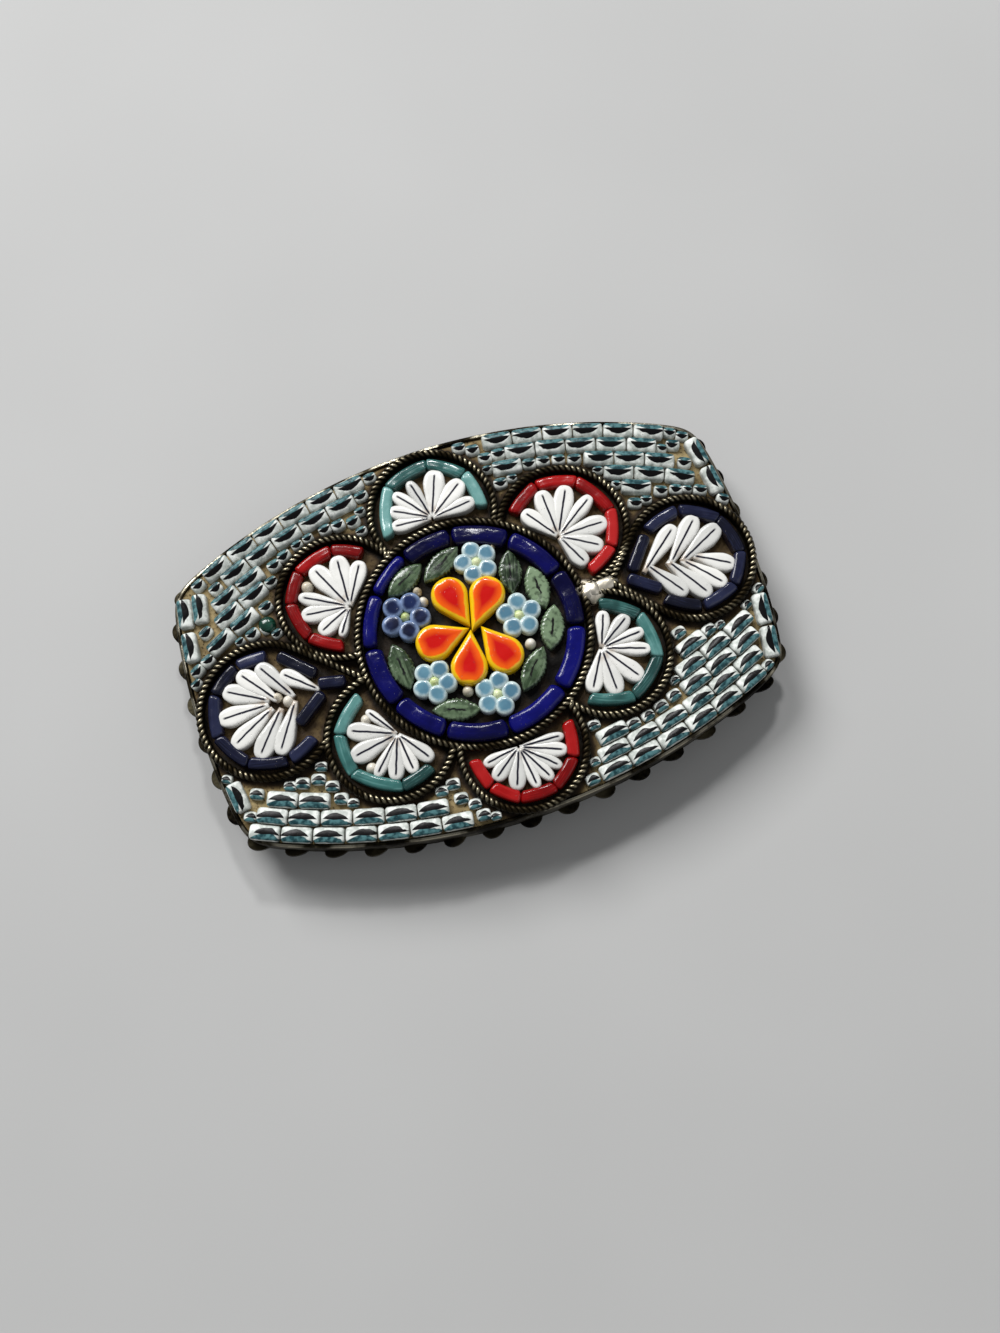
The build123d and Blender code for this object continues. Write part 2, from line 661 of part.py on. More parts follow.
save("tray", make_tray())
save("cement", make_cement())
save("pin_fitting", make_fitting())
for number, bar in enumerate(cobalt_bars, 1):
    save(f"cobalt_bar_{number:02d}", make_cobalt(bar))
for number, petal in enumerate(orange_petals, 1):
    size = (petal.length * orange_length, petal.width * orange_width)
    place = (*disc_place(petal.x, petal.y), petal.turn, *size)
    save(f"orange_petal_{number}", set_stones([place], petal_height, petal_outline))
for number, leaf in enumerate(leaves, 1):
    place = (*disc_place(leaf.x, leaf.y), leaf.turn, leaf.length * leaf_length, leaf.width * leaf_width)
    save(f"leaf_{number}", set_stones([place], leaf_height, leaf_outline))
for number, flower in enumerate(small_flowers, 1):
    save(f"small_flower_{number}", make_flower(flower))
for lobe in lobes:
    save(f"bars_{lobe.name}", [make_bent_bar(bar) for bar in lobe_bars(lobe)])
    save(f"fan_{lobe.name}", set_stones(lobe_petals(lobe), white_height, petal_outline))
for drop in drops:
    bars = [make_bent_bar(bar) for bar in drop_round_bars(drop)]
    save(f"bars_drop_{drop.name}", bars + set_stones(drop_side_bars(drop), bar_height, bar_outline))
    save(f"fan_drop_{drop.name}", set_stones(drop_petals(drop), white_height, petal_outline))
for field in fields:
    save(f"field_{field.name}", set_stones(field_bricks(field), brick_height, brick_outline))
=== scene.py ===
"""A micromosaic brooch: twisted brass wire, glass rods and petals, banded bricks and grimy cement.

All lengths are millimetres until a mesh is made. The face is a shallow dome, the part of a large
ball that stands above the rim, and each stone stands square to it.
"""
from __future__ import annotations

import logging
import math
from dataclasses import dataclass, field
from enum import Enum
from functools import partial, reduce

import bpy
import numpy as np
from mathutils import Matrix


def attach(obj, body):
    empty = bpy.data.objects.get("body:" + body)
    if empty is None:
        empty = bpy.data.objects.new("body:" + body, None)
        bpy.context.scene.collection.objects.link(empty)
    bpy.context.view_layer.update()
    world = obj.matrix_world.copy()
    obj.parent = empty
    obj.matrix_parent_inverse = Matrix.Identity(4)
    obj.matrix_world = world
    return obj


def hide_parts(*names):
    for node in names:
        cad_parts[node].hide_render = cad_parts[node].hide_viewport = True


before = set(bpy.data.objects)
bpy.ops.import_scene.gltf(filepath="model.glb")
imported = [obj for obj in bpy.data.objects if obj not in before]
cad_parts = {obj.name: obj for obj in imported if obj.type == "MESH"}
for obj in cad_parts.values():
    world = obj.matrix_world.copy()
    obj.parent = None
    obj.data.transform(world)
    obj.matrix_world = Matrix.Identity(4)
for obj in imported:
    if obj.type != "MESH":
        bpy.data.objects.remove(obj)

MM = 0.001
HALF_LENGTH = 22.4      # of the tray, to the rim's outside
HALF_WIDTH = 15.05
LOG = logging.getLogger("brooch")
Array = np.ndarray
Colour = tuple[float, float, float]


# Numbers

def smooth(values: Array) -> Array:
    """Eases 0 to 1 by 3t^2 - 2t^3, held flat outside that range."""
    t = np.clip(values, 0.0, 1.0)
    return t * t * (3.0 - 2.0 * t)


def lumps(x: Array, y: Array, size: float, seed: float) -> Array:
    """Uneven heights from -1 to 1 over a plane.

    Random values stand on a square lattice, and each point blends its four corners with
    smooth(t), where t is its share of the way across its square.

    Args:
        x: Positions along.
        y: Positions across, in the same shape.
        size: Spacing of the lattice.
        seed: Any number, a different one for different lumps.

    Returns:
        One height for each position.
    """
    col, row = np.floor(x / size), np.floor(y / size)
    across, up = smooth(x / size - col), smooth(y / size - row)

    def corner(i: Array, j: Array) -> Array:
        """The random value of a lattice point: the fraction of a large sine."""
        value = np.sin(i * 12.9898 + j * 78.233 + seed * 37.719) * 43758.5453
        return value - np.floor(value)

    low = corner(col, row) * (1 - across) + corner(col + 1, row) * across
    high = corner(col, row + 1) * (1 - across) + corner(col + 1, row + 1) * across
    return 2.0 * (low * (1 - up) + high * up) - 1.0


def unit(vectors: Array) -> Array:
    """Vectors along the last axis, each divided by its length."""
    return vectors / np.linalg.norm(vectors, axis=-1, keepdims=True)


def directions(count: int) -> Array:
    """Even turns all the way round, in radians."""
    return np.linspace(0, 2 * np.pi, count, endpoint=False)


def polar(turn: Array, reach: Array | float) -> Array:
    """x and y of points at some turns and distances, on a last axis of two."""
    return np.stack([reach * np.cos(turn), reach * np.sin(turn)], -1)


# The face

@dataclass(frozen=True)
class Dome:
    """The ball that the cement's top is part of."""

    half_length: float = HALF_LENGTH
    rise: float = 1.2
    crown: float = 5.6

    @property
    def radius(self) -> float:
        """Radius of the ball: (half chord squared + rise squared) / (2 rise)."""
        return (self.half_length ** 2 + self.rise ** 2) / (2 * self.rise)

    def place(self, x: Array, y: Array, lift: Array | float) -> Array:
        """Points at x, y on the ball, moved out along its normal by lift.

        Args:
            x: Positions along the brooch.
            y: Positions across it.
            lift: Height over the ball.

        Returns:
            Points with a last axis of three.
        """
        height = np.sqrt(self.radius ** 2 - x ** 2 - y ** 2)
        normal = np.stack([x, y, height], -1) / self.radius
        foot = np.stack([x, y, height + self.crown - self.radius], -1)
        return foot + normal * np.broadcast_to(lift, x.shape)[..., None]


DOME = Dome()


# Meshes

def make_piece(
    name: str,
    points: Array,
    faces: list[Array],
    material: bpy.types.Material,
    pattern: Array | None = None,
    traits: Array | None = None,
    crease: float = 50.0,
) -> bpy.types.Object:
    """Makes one object of the brooch from arrays.

    Args:
        name: Name of the piece.
        points: Corner points in millimetres.
        faces: Arrays of corner numbers, one for each count of corners.
        material: What it is made of.
        pattern: Flat place of each point, for what follows the surface.
        traits: Tone, rise and edge distance of each point.
        crease: Edges sharper than this many degrees stay sharp.

    Returns:
        The new object, riding on the root.
    """
    mesh = bpy.data.meshes.new(name)
    corner_rows = [row for group in faces for row in group.tolist()]
    mesh.from_pydata((points * MM).tolist(), [], corner_rows)
    mesh.polygons.foreach_set("use_smooth", np.ones(len(mesh.polygons), dtype=bool))
    corners = np.empty(len(mesh.loops), dtype=np.int32)
    mesh.loops.foreach_get("vertex_index", corners)
    if pattern is not None:
        layer = mesh.uv_layers.new(name="pattern")
        layer.data.foreach_set("uv", pattern[corners].astype(np.float32).ravel())
    if traits is not None:
        layer = mesh.attributes.new("traits", "FLOAT_VECTOR", "POINT")
        layer.data.foreach_set("vector", traits.astype(np.float32).ravel())
    mesh.update()
    mesh.set_sharp_from_angle(angle=math.radians(crease))
    mesh.materials.append(material)
    piece = bpy.data.objects.new(name, mesh)
    bpy.context.scene.collection.objects.link(piece)
    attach(piece, "root")
    LOG.info("%s: %d faces", name, len(mesh.polygons))
    return piece


def grid_faces(rows: int, columns: int, wrap_rows: bool, wrap_columns: bool) -> Array:
    """Quads of a grid of points, numbered row by row.

    Args:
        rows: Count of rows.
        columns: Count of points in a row.
        wrap_rows: Whether the last row joins the first.
        wrap_columns: Whether the last column joins the first.

    Returns:
        Corner numbers, four to a face.
    """
    row = np.arange(rows if wrap_rows else rows - 1)[:, None]
    col = np.arange(columns if wrap_columns else columns - 1)[None, :]
    next_row, next_col = (row + 1) % rows, (col + 1) % columns
    here = [row * columns + col, row * columns + next_col]
    beyond = [next_row * columns + next_col, next_row * columns + col]
    return np.stack(here + beyond, -1).reshape(-1, 4)


# Seats: where the stones stand, read from the solids

class Kind(Enum):
    """Which way a stone's long axis is found."""

    STRAIGHT = "straight"
    PETAL = "petal"
    BENT = "bent"


STRAIGHT_CURVE = 1e5    # a radius so large that what follows it is straight
OUTLINE_POINTS = 48


@dataclass(frozen=True)
class Cell:
    """A round cell of the setting, or one drawn out to a tip at tip_x."""

    name: str
    x: float
    y: float
    radius: float
    tip_x: float | None = None
    widest_bar: float = 1.03

    def distance(self, x: Array, y: Array) -> Array:
        """How far places are from the cell's centre."""
        return np.hypot(x - self.x, y - self.y)


DISC = Cell("disc", -0.4032, -0.5418, 8.8, widest_bar=1.45)
CELLS = (
    Cell("top", -0.403, 9.647, 4.80), Cell("upper_right", 8.691, 5.147, 4.899),
    Cell("lower_right", 8.602, -5.237, 4.753), Cell("bottom", 0.269, -9.993, 4.705),
    Cell("lower_left", -8.826, -6.080, 4.753), Cell("upper_left", -9.139, 5.358, 4.753),
    Cell("drop_right", 17.25, -0.12, 4.85, 10.722), Cell("drop_left", -17.0, -1.129, 5.1, -9.478))


@dataclass
class Seats:
    """Places of several stones, one row each. The foot is the middle of the stone's underside."""

    foot: Array
    along: Array
    up: Array
    length: Array
    width: Array
    height: Array
    curve: Array
    outlines: list[Array]

    @property
    def across(self) -> Array:
        """The sideways direction, up x along."""
        return np.cross(self.up, self.along)

    @property
    def count(self) -> int:
        """How many stones there are."""
        return len(self.length)

    def face_out(self) -> None:
        """Turns each stone half round where its side looks inwards.

        Outwards is the direction of (x / half length squared, y / half width squared).
        """
        away = self.foot[:, :2] / np.array([HALF_LENGTH, HALF_WIDTH]) ** 2
        inward = (self.across[:, :2] * away).sum(-1) < 0
        self.along[inward] *= -1
        self.outlines = [-line if turned else line for line, turned in zip(self.outlines, inward)]

    def grow(self, longer: Array | float, wider: float) -> None:
        """Makes the outlines longer and wider about their middles.

        Args:
            longer: How much longer, for all stones or for each.
            wider: How much wider.
        """
        shares = np.stack([1 + longer / self.length, 1 + wider / self.width], -1)
        self.outlines = [line * share for line, share in zip(self.outlines, shares)]
        self.length, self.width = self.length + longer, self.width + wider

    def draw_back(self, amount: float) -> None:
        """Draws every outline out at its low end, the root of a petal.

        Args:
            amount: How far.
        """
        shares = 1 + amount / self.length
        self.outlines = [line * [share, 1] for line, share in zip(self.outlines, shares)]
        self.foot = self.foot - self.along * amount / 2
        self.length = self.length + amount

    def edges(self, shares: Array) -> tuple[Array, Array]:
        """Where lines across the stones cross their outlines.

        Every pair of outline points on either side of a line gives a crossing by proportion, and
        the lowest and highest of them are the outline's edges, as it bulges outwards all round.

        Args:
            shares: Places of the lines, as shares of the half length.

        Returns:
            The lowest and the highest crossing, of stones by lines.
        """
        low, high = np.zeros((self.count, len(shares))), np.zeros((self.count, len(shares)))
        for row, line in enumerate(self.outlines):
            at = shares * self.length[row] / 2
            x, y = line[:, 0], line[:, 1]
            start, end = x[:, None], x[None, :]
            step = np.where(end > start, end - start, 1.0)
            share = (at[:, None, None] - start) / step
            crossing = y[:, None] * (1 - share) + y[None, :] * share
            spans = (start <= at[:, None, None]) & (at[:, None, None] <= end) & (end > start)
            low[row] = np.where(spans, crossing, np.inf).min((1, 2))
            high[row] = np.where(spans, crossing, -np.inf).max((1, 2))
        return low, high

    def world(self, local: Array) -> Array:
        """Moves points from the stones' own axes to the brooch: foot + along x + across y + up z.

        Args:
            local: Points in an array of stones by points by three.

        Returns:
            The same array in the brooch's axes.
        """
        return (self.foot[:, None] + self.along[:, None] * local[..., 0:1]
                + self.across[:, None] * local[..., 1:2] + self.up[:, None] * local[..., 2:3])


def solid_groups(node: str) -> list[tuple[Array, Array]]:
    """Splits a solid model into its loose solids.

    Points at the same place count as one. Each point starts with its own number, and every
    triangle spreads the lowest number of its corners until none changes.

    Args:
        node: Name of the solid model.

    Returns:
        For each loose solid its triangles' corners and the triangles' area vectors.
    """
    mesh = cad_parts[node].data
    points = np.empty(len(mesh.vertices) * 3)
    mesh.vertices.foreach_get("co", points)
    points = points.reshape(-1, 3) / MM
    mesh.calc_loop_triangles()
    triangles = np.empty(len(mesh.loop_triangles) * 3, dtype=np.int32)
    mesh.loop_triangles.foreach_get("vertices", triangles)
    triangles = triangles.reshape(-1, 3)
    _, welded = np.unique(np.round(points, 3), axis=0, return_inverse=True)
    welded = welded.ravel()[triangles]
    label = np.arange(welded.max() + 1)
    while True:
        spread = label.copy()
        np.minimum.at(spread, welded.ravel(), np.repeat(label[welded].min(1), 3))
        spread = spread[spread]
        if (spread == label).all():
            break
        label = spread
    owner = label[welded[:, 0]]
    groups = []
    for number in np.unique(owner):
        corners = points[triangles[owner == number]]
        areas = np.cross(corners[:, 1] - corners[:, 0], corners[:, 2] - corners[:, 0])
        groups.append((corners, areas))
    return groups


Stand = tuple[Array, Array, Array, Array, float]


def stand_straight(base: Array, up: Array, low: float, kind: Kind) -> Stand:
    """How a straight stone or a petal stands on its underside.

    The long axis of a straight stone is the main axis of its outline's spread, and that of a petal
    runs from its farthest point, the root, to the outline's mean.

    Args:
        base: Points of the underside.
        up: Its upward direction.
        low: Its height along that direction.
        kind: Which way the long axis is found.

    Returns:
        The foot, the direction along, the points' places along and across, and the curve.
    """
    mean = base.mean(0)
    if kind is Kind.PETAL:
        root = base[np.linalg.norm(base - mean, axis=1).argmax()]
        along = unit(mean - root)
    else:
        along = np.linalg.svd(base - mean, full_matrices=False)[2][0]
    across = np.cross(up, along)
    far, side = base @ along, base @ across
    middle = along * (far.max() + far.min()) / 2 + across * (side.max() + side.min()) / 2
    return middle + up * low, along, far, side, STRAIGHT_CURVE


def stand_bent(base: Array, up: Array, low: float, cell: Cell) -> Stand:
    """How a bent bar stands on its underside, unrolled about its cell's centre.

    A point's place along is its turn about the centre times the middle of the radii, and its place
    across is its distance from the centre.

    Args:
        base: Points of the underside.
        up: Its upward direction.
        low: Its height along that direction.
        cell: The cell.

    Returns:
        The foot, the direction along, the points' places along and across, and the curve.
    """
    centre = np.array([cell.x, cell.y, 0.0])
    mean = base.mean(0)
    along = unit(np.cross(mean - np.array([cell.x, cell.y, mean[2]]), up))
    across = np.cross(up, along)
    ahead, out = (base - centre) @ along, (base - centre) @ across
    reach = cell.distance(base[:, 0], base[:, 1])
    radius = (reach.max() + reach.min()) / 2
    far, side = np.arctan2(ahead, out) * radius, np.hypot(ahead, out)
    turn = (far.max() + far.min()) / 2 / radius
    outward = along * np.sin(turn) + across * np.cos(turn)
    along = along * np.cos(turn) - across * np.sin(turn)
    level = centre + up * (low - centre @ up)
    curve = (side.max() + side.min()) / 2
    return level + outward * curve, along, far, side, curve


def read_seats(node: str, kind: Kind, cell: Cell) -> Seats:
    """Finds how the stones of a solid model stand.

    Up is opposite to the area vectors of the flat underside. A bar whose distances from the cell's
    centre differ by more than a bar's width is straight.

    Args:
        node: Name of the solid model.
        kind: Which way the long axis is found.
        cell: The cell that bent bars follow.

    Returns:
        One seat for each loose solid.
    """
    rows: list[list[Array | float]] = []
    outlines = []
    for corners, areas in solid_groups(node):
        below = areas[areas[:, 2] < -0.9 * np.linalg.norm(areas, axis=1)]
        up = -unit(below.sum(0))
        points = corners.reshape(-1, 3)
        heights = points @ up
        low = heights.min()
        base = np.unique(np.round(points[heights < low + 0.02], 3), axis=0)
        spread = np.ptp(cell.distance(base[:, 0], base[:, 1]))
        if kind is Kind.BENT and spread < cell.widest_bar:
            foot, along, far, side, curve = stand_bent(base, up, low, cell)
        else:
            foot, along, far, side, curve = stand_straight(base, up, low, kind)
        far, side = far - (far.max() + far.min()) / 2, side - (side.max() + side.min()) / 2
        outlines.append(np.stack([far, side], -1))
        rows.append([foot, along, up, np.ptp(far), np.ptp(side), np.ptp(heights), curve])
    columns = [np.array(column, dtype=float) for column in zip(*rows)]
    return Seats(*columns, outlines)


def face_seats(table: list[tuple[float, ...]], height: float, boxy: float, lift: float = -0.1) -> Seats:
    """Seats from a table of places on the face.

    The outline of each is (sign(cos t) |cos t|^(2/n), sign(sin t) |sin t|^(2/n)) in shares of the
    half length and half width, so a large n gives a box and n = 2 an oval.

    Args:
        table: x, y, turn in degrees, length and width of each stone.
        height: How tall they stand.
        boxy: The power n of the outline.
        lift: Height of their undersides over the cement.

    Returns:
        One seat for each row.
    """
    rows = np.array([row[:5] for row in table], dtype=float)
    x, y, turn = rows[:, 0], rows[:, 1], np.radians(rows[:, 2])
    foot = DOME.place(x, y, lift)
    up = unit(DOME.place(x, y, lift + 1.0) - foot)
    level = np.stack([np.cos(turn), np.sin(turn), 0 * turn], -1)
    across = unit(np.cross(up, level))
    oval = polar(directions(OUTLINE_POINTS), 1.0)
    oval = np.sign(oval) * np.abs(oval) ** (2 / boxy)
    outlines = [oval * row[3:5] / 2 for row in rows]
    tall, straight = np.full(len(rows), height), np.full(len(rows), STRAIGHT_CURVE)
    return Seats(foot, np.cross(across, up), up, rows[:, 3], rows[:, 4], tall, straight, outlines)


# Stones

def quarter(distance: Array, radius: float) -> Array:
    """Share of the full height at a distance from the edge: a quarter circle of that radius."""
    return np.sqrt(np.maximum(1 - (1 - np.minimum(distance / radius, 1.0)) ** 2, 0.0))


@dataclass
class Stones:
    """Stones of one node, each a crown on upright sides, all worked out in one go.

    Lines across each outline are cut at stations along it, and points stand on each line from one
    side to the other. The height at a point is h (w + (1 - w) q(s) q(e)), with w the share of the
    upright side, q a quarter circle, s the distance from the nearer side and e from the nearer end.
    Each stone has a tone of its own, drawn where none are given, and a crown that is lowered by
    uneven (fine lumps / 2 + wide lumps), both lumps being counted from 0 up.
    """

    seats: Seats
    stations: int = 13
    ribs: int = 13
    wall: float = 0.45
    round_over: float = 0.3
    uneven: float = 0.035
    seed: int = 1
    tones: tuple[float, ...] = ()
    fine: float = 0.5
    wide: float = 1.2
    apart: float = 40.0

    def heights(self, x: Array, v: Array, half: Array) -> Array:
        """Heights over the underside, as shares of the full one.

        Args:
            x: Distance along from the middle, of stones by stations by one.
            v: Shares across, -1 to 1, of ribs.
            half: Half width of each line, of stones by stations by one.

        Returns:
            Shares of stones by stations by ribs.
        """
        side = quarter(half * (1 - np.abs(v)), self.round_over)
        end = quarter(self.seats.length[:, None, None] / 2 - np.abs(x), self.round_over)
        return self.wall + (1 - self.wall) * side * end

    def bend(self, local: Array) -> Array:
        """Bends the stones about their cells: ((R + y) sin(x / R), (R + y) cos(x / R) - R).

        Args:
            local: Points in the stones' own axes, of stones by points by three. They change.

        Returns:
            The same points, bent.
        """
        curve = self.seats.curve[:, None]
        turn, radius = local[..., 0] / curve, curve + local[..., 1]
        local[..., 0] = radius * np.sin(turn)
        local[..., 1] = radius * np.cos(turn) - curve
        return local

    def flat_place(self, local: Array) -> Array:
        """The pattern's place: shares of the half length and half width from the middle."""
        return local[..., :2] / (np.stack([self.seats.length, self.seats.width], -1)[:, None] / 2)

    def trim(self, u: Array, low: Array, high: Array) -> tuple[Array, Array]:
        """Changes the edges that the lines reach to. Here they stay."""
        return low, high

    def spacing(self) -> Array:
        """Stations from one end to the other, closer near the ends: sin(t) of even steps."""
        return np.sin(np.linspace(-1, 1, self.stations) * np.pi / 2) * 0.995

    def faces(self) -> list[Array]:
        """Quads over and under every stone, and a cap on each of its ends.

        Returns:
            Corner numbers of the quads and of the caps.
        """
        size = self.stations * self.ribs
        start = np.arange(self.seats.count)[:, None, None] * size
        skin = grid_faces(self.stations, self.ribs, False, True)[None] + start
        row = np.arange(self.ribs)
        caps = np.stack([row[::-1], size - self.ribs + row])[None] + start
        return [skin.reshape(-1, 4), caps.reshape(-1, self.ribs)]

    def arrays(self) -> tuple[Array, Array, Array]:
        """All the stones' points, with their pattern places and traits.

        Returns:
            The points in millimetres, the pattern places, and the tone, rise and edge distance.
        """
        seats = self.seats
        u = self.spacing()
        low, high = self.trim(u, *seats.edges(u))
        inner = np.sin(np.linspace(1, -1, self.ribs - 2) * np.pi / 2)
        v = np.concatenate([[1.0], inner, [-1.0]])
        half, middle = ((high - low) / 2)[..., None], ((high + low) / 2)[..., None]
        x = (u[None] * seats.length[:, None] / 2)[..., None]
        share = self.heights(x, v, half)
        share[..., [0, -1]] = 0.0
        edge = np.minimum(half * (1 - np.abs(v)), seats.length[:, None, None] / 2 - np.abs(x))
        local = np.stack(np.broadcast_arrays(x, middle + half * v, share * seats.height[:, None, None]), -1)
        local = local.reshape(seats.count, -1, 3)
        share, edge = share.reshape(seats.count, -1), edge.reshape(seats.count, -1)
        flat = self.flat_place(local)
        drawn = np.random.default_rng(self.seed).random(seats.count)
        tone = (np.array(self.tones) if self.tones else drawn)[:, None]
        shift = tone * self.apart
        bumps = lumps(local[..., 0] + shift, local[..., 1] - shift, self.fine, self.seed)
        swell = lumps(local[..., 0] - shift, local[..., 1] + shift, self.wide, self.seed + 5)
        local[..., 2] -= self.uneven * (0.5 * (1 + bumps) + (1 + swell)) * share
        points = seats.world(self.bend(local)).reshape(-1, 3)
        traits = np.stack(np.broadcast_arrays(tone, share, edge), -1).reshape(-1, 3)
        return points, flat.reshape(-1, 2), traits

    def make(self, name: str, material: bpy.types.Material, slot: str) -> bpy.types.Object:
        """Makes the stones as one piece.

        Args:
            name: Name of the piece.
            material: Their glass.
            slot: Not used.

        Returns:
            The new object.
        """
        points, flat, traits = self.arrays()
        return make_piece(name, points, self.faces(), material, flat, traits)


@dataclass
class Petals(Stones):
    """Petals with a low pointed root and a full round end."""

    stations: int = 17
    ribs: int = 15
    wall: float = 0.74
    round_over: float = 0.24
    low_root: float = 0.84
    steepness: float = 1.6

    def heights(self, x: Array, v: Array, half: Array) -> Array:
        """Heights as for any stone, times r + (1 - r) smooth(k s).

        r is the root's own share, k the steepness and s the share of the length from the root.

        Args:
            x: Distance along from the middle, of stones by stations by one.
            v: Shares across, -1 to 1, of ribs.
            half: Half width of each line, of stones by stations by one.

        Returns:
            Shares of stones by stations by ribs.
        """
        rising = smooth((x / self.seats.length[:, None, None] + 0.5) * self.steepness)
        return super().heights(x, v, half) * (self.low_root + (1 - self.low_root) * rising)

    def flat_place(self, local: Array) -> Array:
        """The pattern's place: share of the length from the root, and millimetres across."""
        return np.stack([local[..., 0] / self.seats.length[:, None] + 0.5, local[..., 1]], -1)


@dataclass
class Rods(Petals):
    """White petals cut from rods: they widen evenly from the root and end bluntly.

    The half width is w (r + (1 - r) min(s / f, 1)) (1 - e^p)^(1 / p), with s the share of the
    length from the root, e the share of the way from f to the end, and r the root's share.
    """

    root: float = 0.24
    full: float = 0.66
    bluntness: float = 2.5

    def trim(self, u: Array, low: Array, high: Array) -> tuple[Array, Array]:
        """Puts the rods' own edges in place of the outlines'.

        Args:
            u: Places of the lines, as shares of the half length.
            low: The outlines' lower edges, which aren't used.
            high: Their upper edges, which aren't used.

        Returns:
            The new lower and upper edges.
        """
        share = (u + 1) / 2
        rising = self.root + (1 - self.root) * np.minimum(share / self.full, 1)
        end = np.clip((share - self.full) / (1 - self.full), 0, 1)
        half = rising * (1 - end ** self.bluntness) ** (1 / self.bluntness)
        half = half[None] * self.seats.width[:, None] / 2
        return -half, half


@dataclass
class Leaves(Stones):
    """Leaves with a toothed edge: each line is shorter by up to the bite along a tooth."""

    stations: int = 41
    wall: float = 0.7
    round_over: float = 0.24
    uneven: float = 0.06
    teeth: float = 5.5
    bite: float = 0.15
    reach: float = 0.985

    def spacing(self) -> Array:
        """Even stations, so that the teeth are even."""
        return np.linspace(-self.reach, self.reach, self.stations)

    def trim(self, u: Array, low: Array, high: Array) -> tuple[Array, Array]:
        """Draws both edges in by the tooth's share, which grows evenly along each tooth."""
        draw = 1 - self.bite * ((u * self.teeth) % 1.0)
        return low * draw, high * draw


@dataclass
class Bricks(Stones):
    """Banded bricks, each lying like a roof tile, highest near its outer side."""

    stations: int = 13
    ribs: int = 15
    wall: float = 0.66
    round_over: float = 0.16
    slope: float = 0.17
    ridge: float = 0.35
    arch: float = 0.05

    def bend(self, local: Array) -> Array:
        """Lowers each point by its share slope (v - ridge)^2 + arch u^2, u along and v across.

        Args:
            local: Points in the stones' own axes, of stones by points by three. They change.

        Returns:
            The same points, lowered.
        """
        u = local[..., 0] / (self.seats.length[:, None] / 2)
        v = local[..., 1] / (self.seats.width[:, None] / 2)
        local[..., 2] *= 1 - self.slope * (v - self.ridge) ** 2 - self.arch * u * u
        return super().bend(local)


@dataclass
class Bars(Stones):
    """Long bars with round corners that stand end to end, straight or bent along a wire."""

    stations: int = 25
    ribs: int = 15
    wall: float = 0.6
    round_over: float = 0.26
    uneven: float = 0.05
    corner: float = 0.3
    straighter: float = 0.0
    tip_reach: float = 0.5

    def __post_init__(self) -> None:
        """Lengthens the straight bars, which close in on the tip of a drop."""
        self.seats.grow(np.where(self.seats.curve == STRAIGHT_CURVE, self.tip_reach, 0.0), 0.0)

    def trim(self, u: Array, low: Array, high: Array) -> tuple[Array, Array]:
        """Draws both edges in by c (1 - q(e)), e being the distance from the end, c the corner.

        Args:
            u: Places of the lines, as shares of the half length.
            low: The outlines' lower edges.
            high: Their upper edges.

        Returns:
            The new lower and upper edges.
        """
        from_end = (1 - np.abs(u)) * self.seats.length[:, None] / 2
        draw = self.corner * (1 - quarter(from_end, self.corner))
        return low + draw, high - draw

    def bend(self, local: Array) -> Array:
        """Bends the bars, then draws them a share s back towards their chord.

        Each point moves out by s (x^2 - l^2) / 2 R, x being its place along, l the bar's half
        length and R its curve, so that its ends stay where they are.

        Args:
            local: Points in the bars' own axes, of bars by points by three. They change.

        Returns:
            The same points, bent.
        """
        half, curve = self.seats.length[:, None] / 2, self.seats.curve[:, None]
        lift = self.straighter * (local[..., 0] ** 2 - half ** 2) / (2 * curve)
        local = super().bend(local)
        local[..., 1] += lift
        return local


# Materials

Socket = bpy.types.NodeSocket


def ink(red: int, green: int, blue: int) -> Colour:
    """A colour given as seen, 0 to 255, in the light values that a shader takes.

    Args:
        red: Its red.
        green: Its green.
        blue: Its blue.

    Returns:
        Three numbers from 0 to 1.
    """
    seen = np.array([red, green, blue]) / 255
    light = np.where(seen <= 0.04045, seen / 12.92, ((seen + 0.055) / 1.055) ** 2.4)
    return tuple(float(value) for value in light)


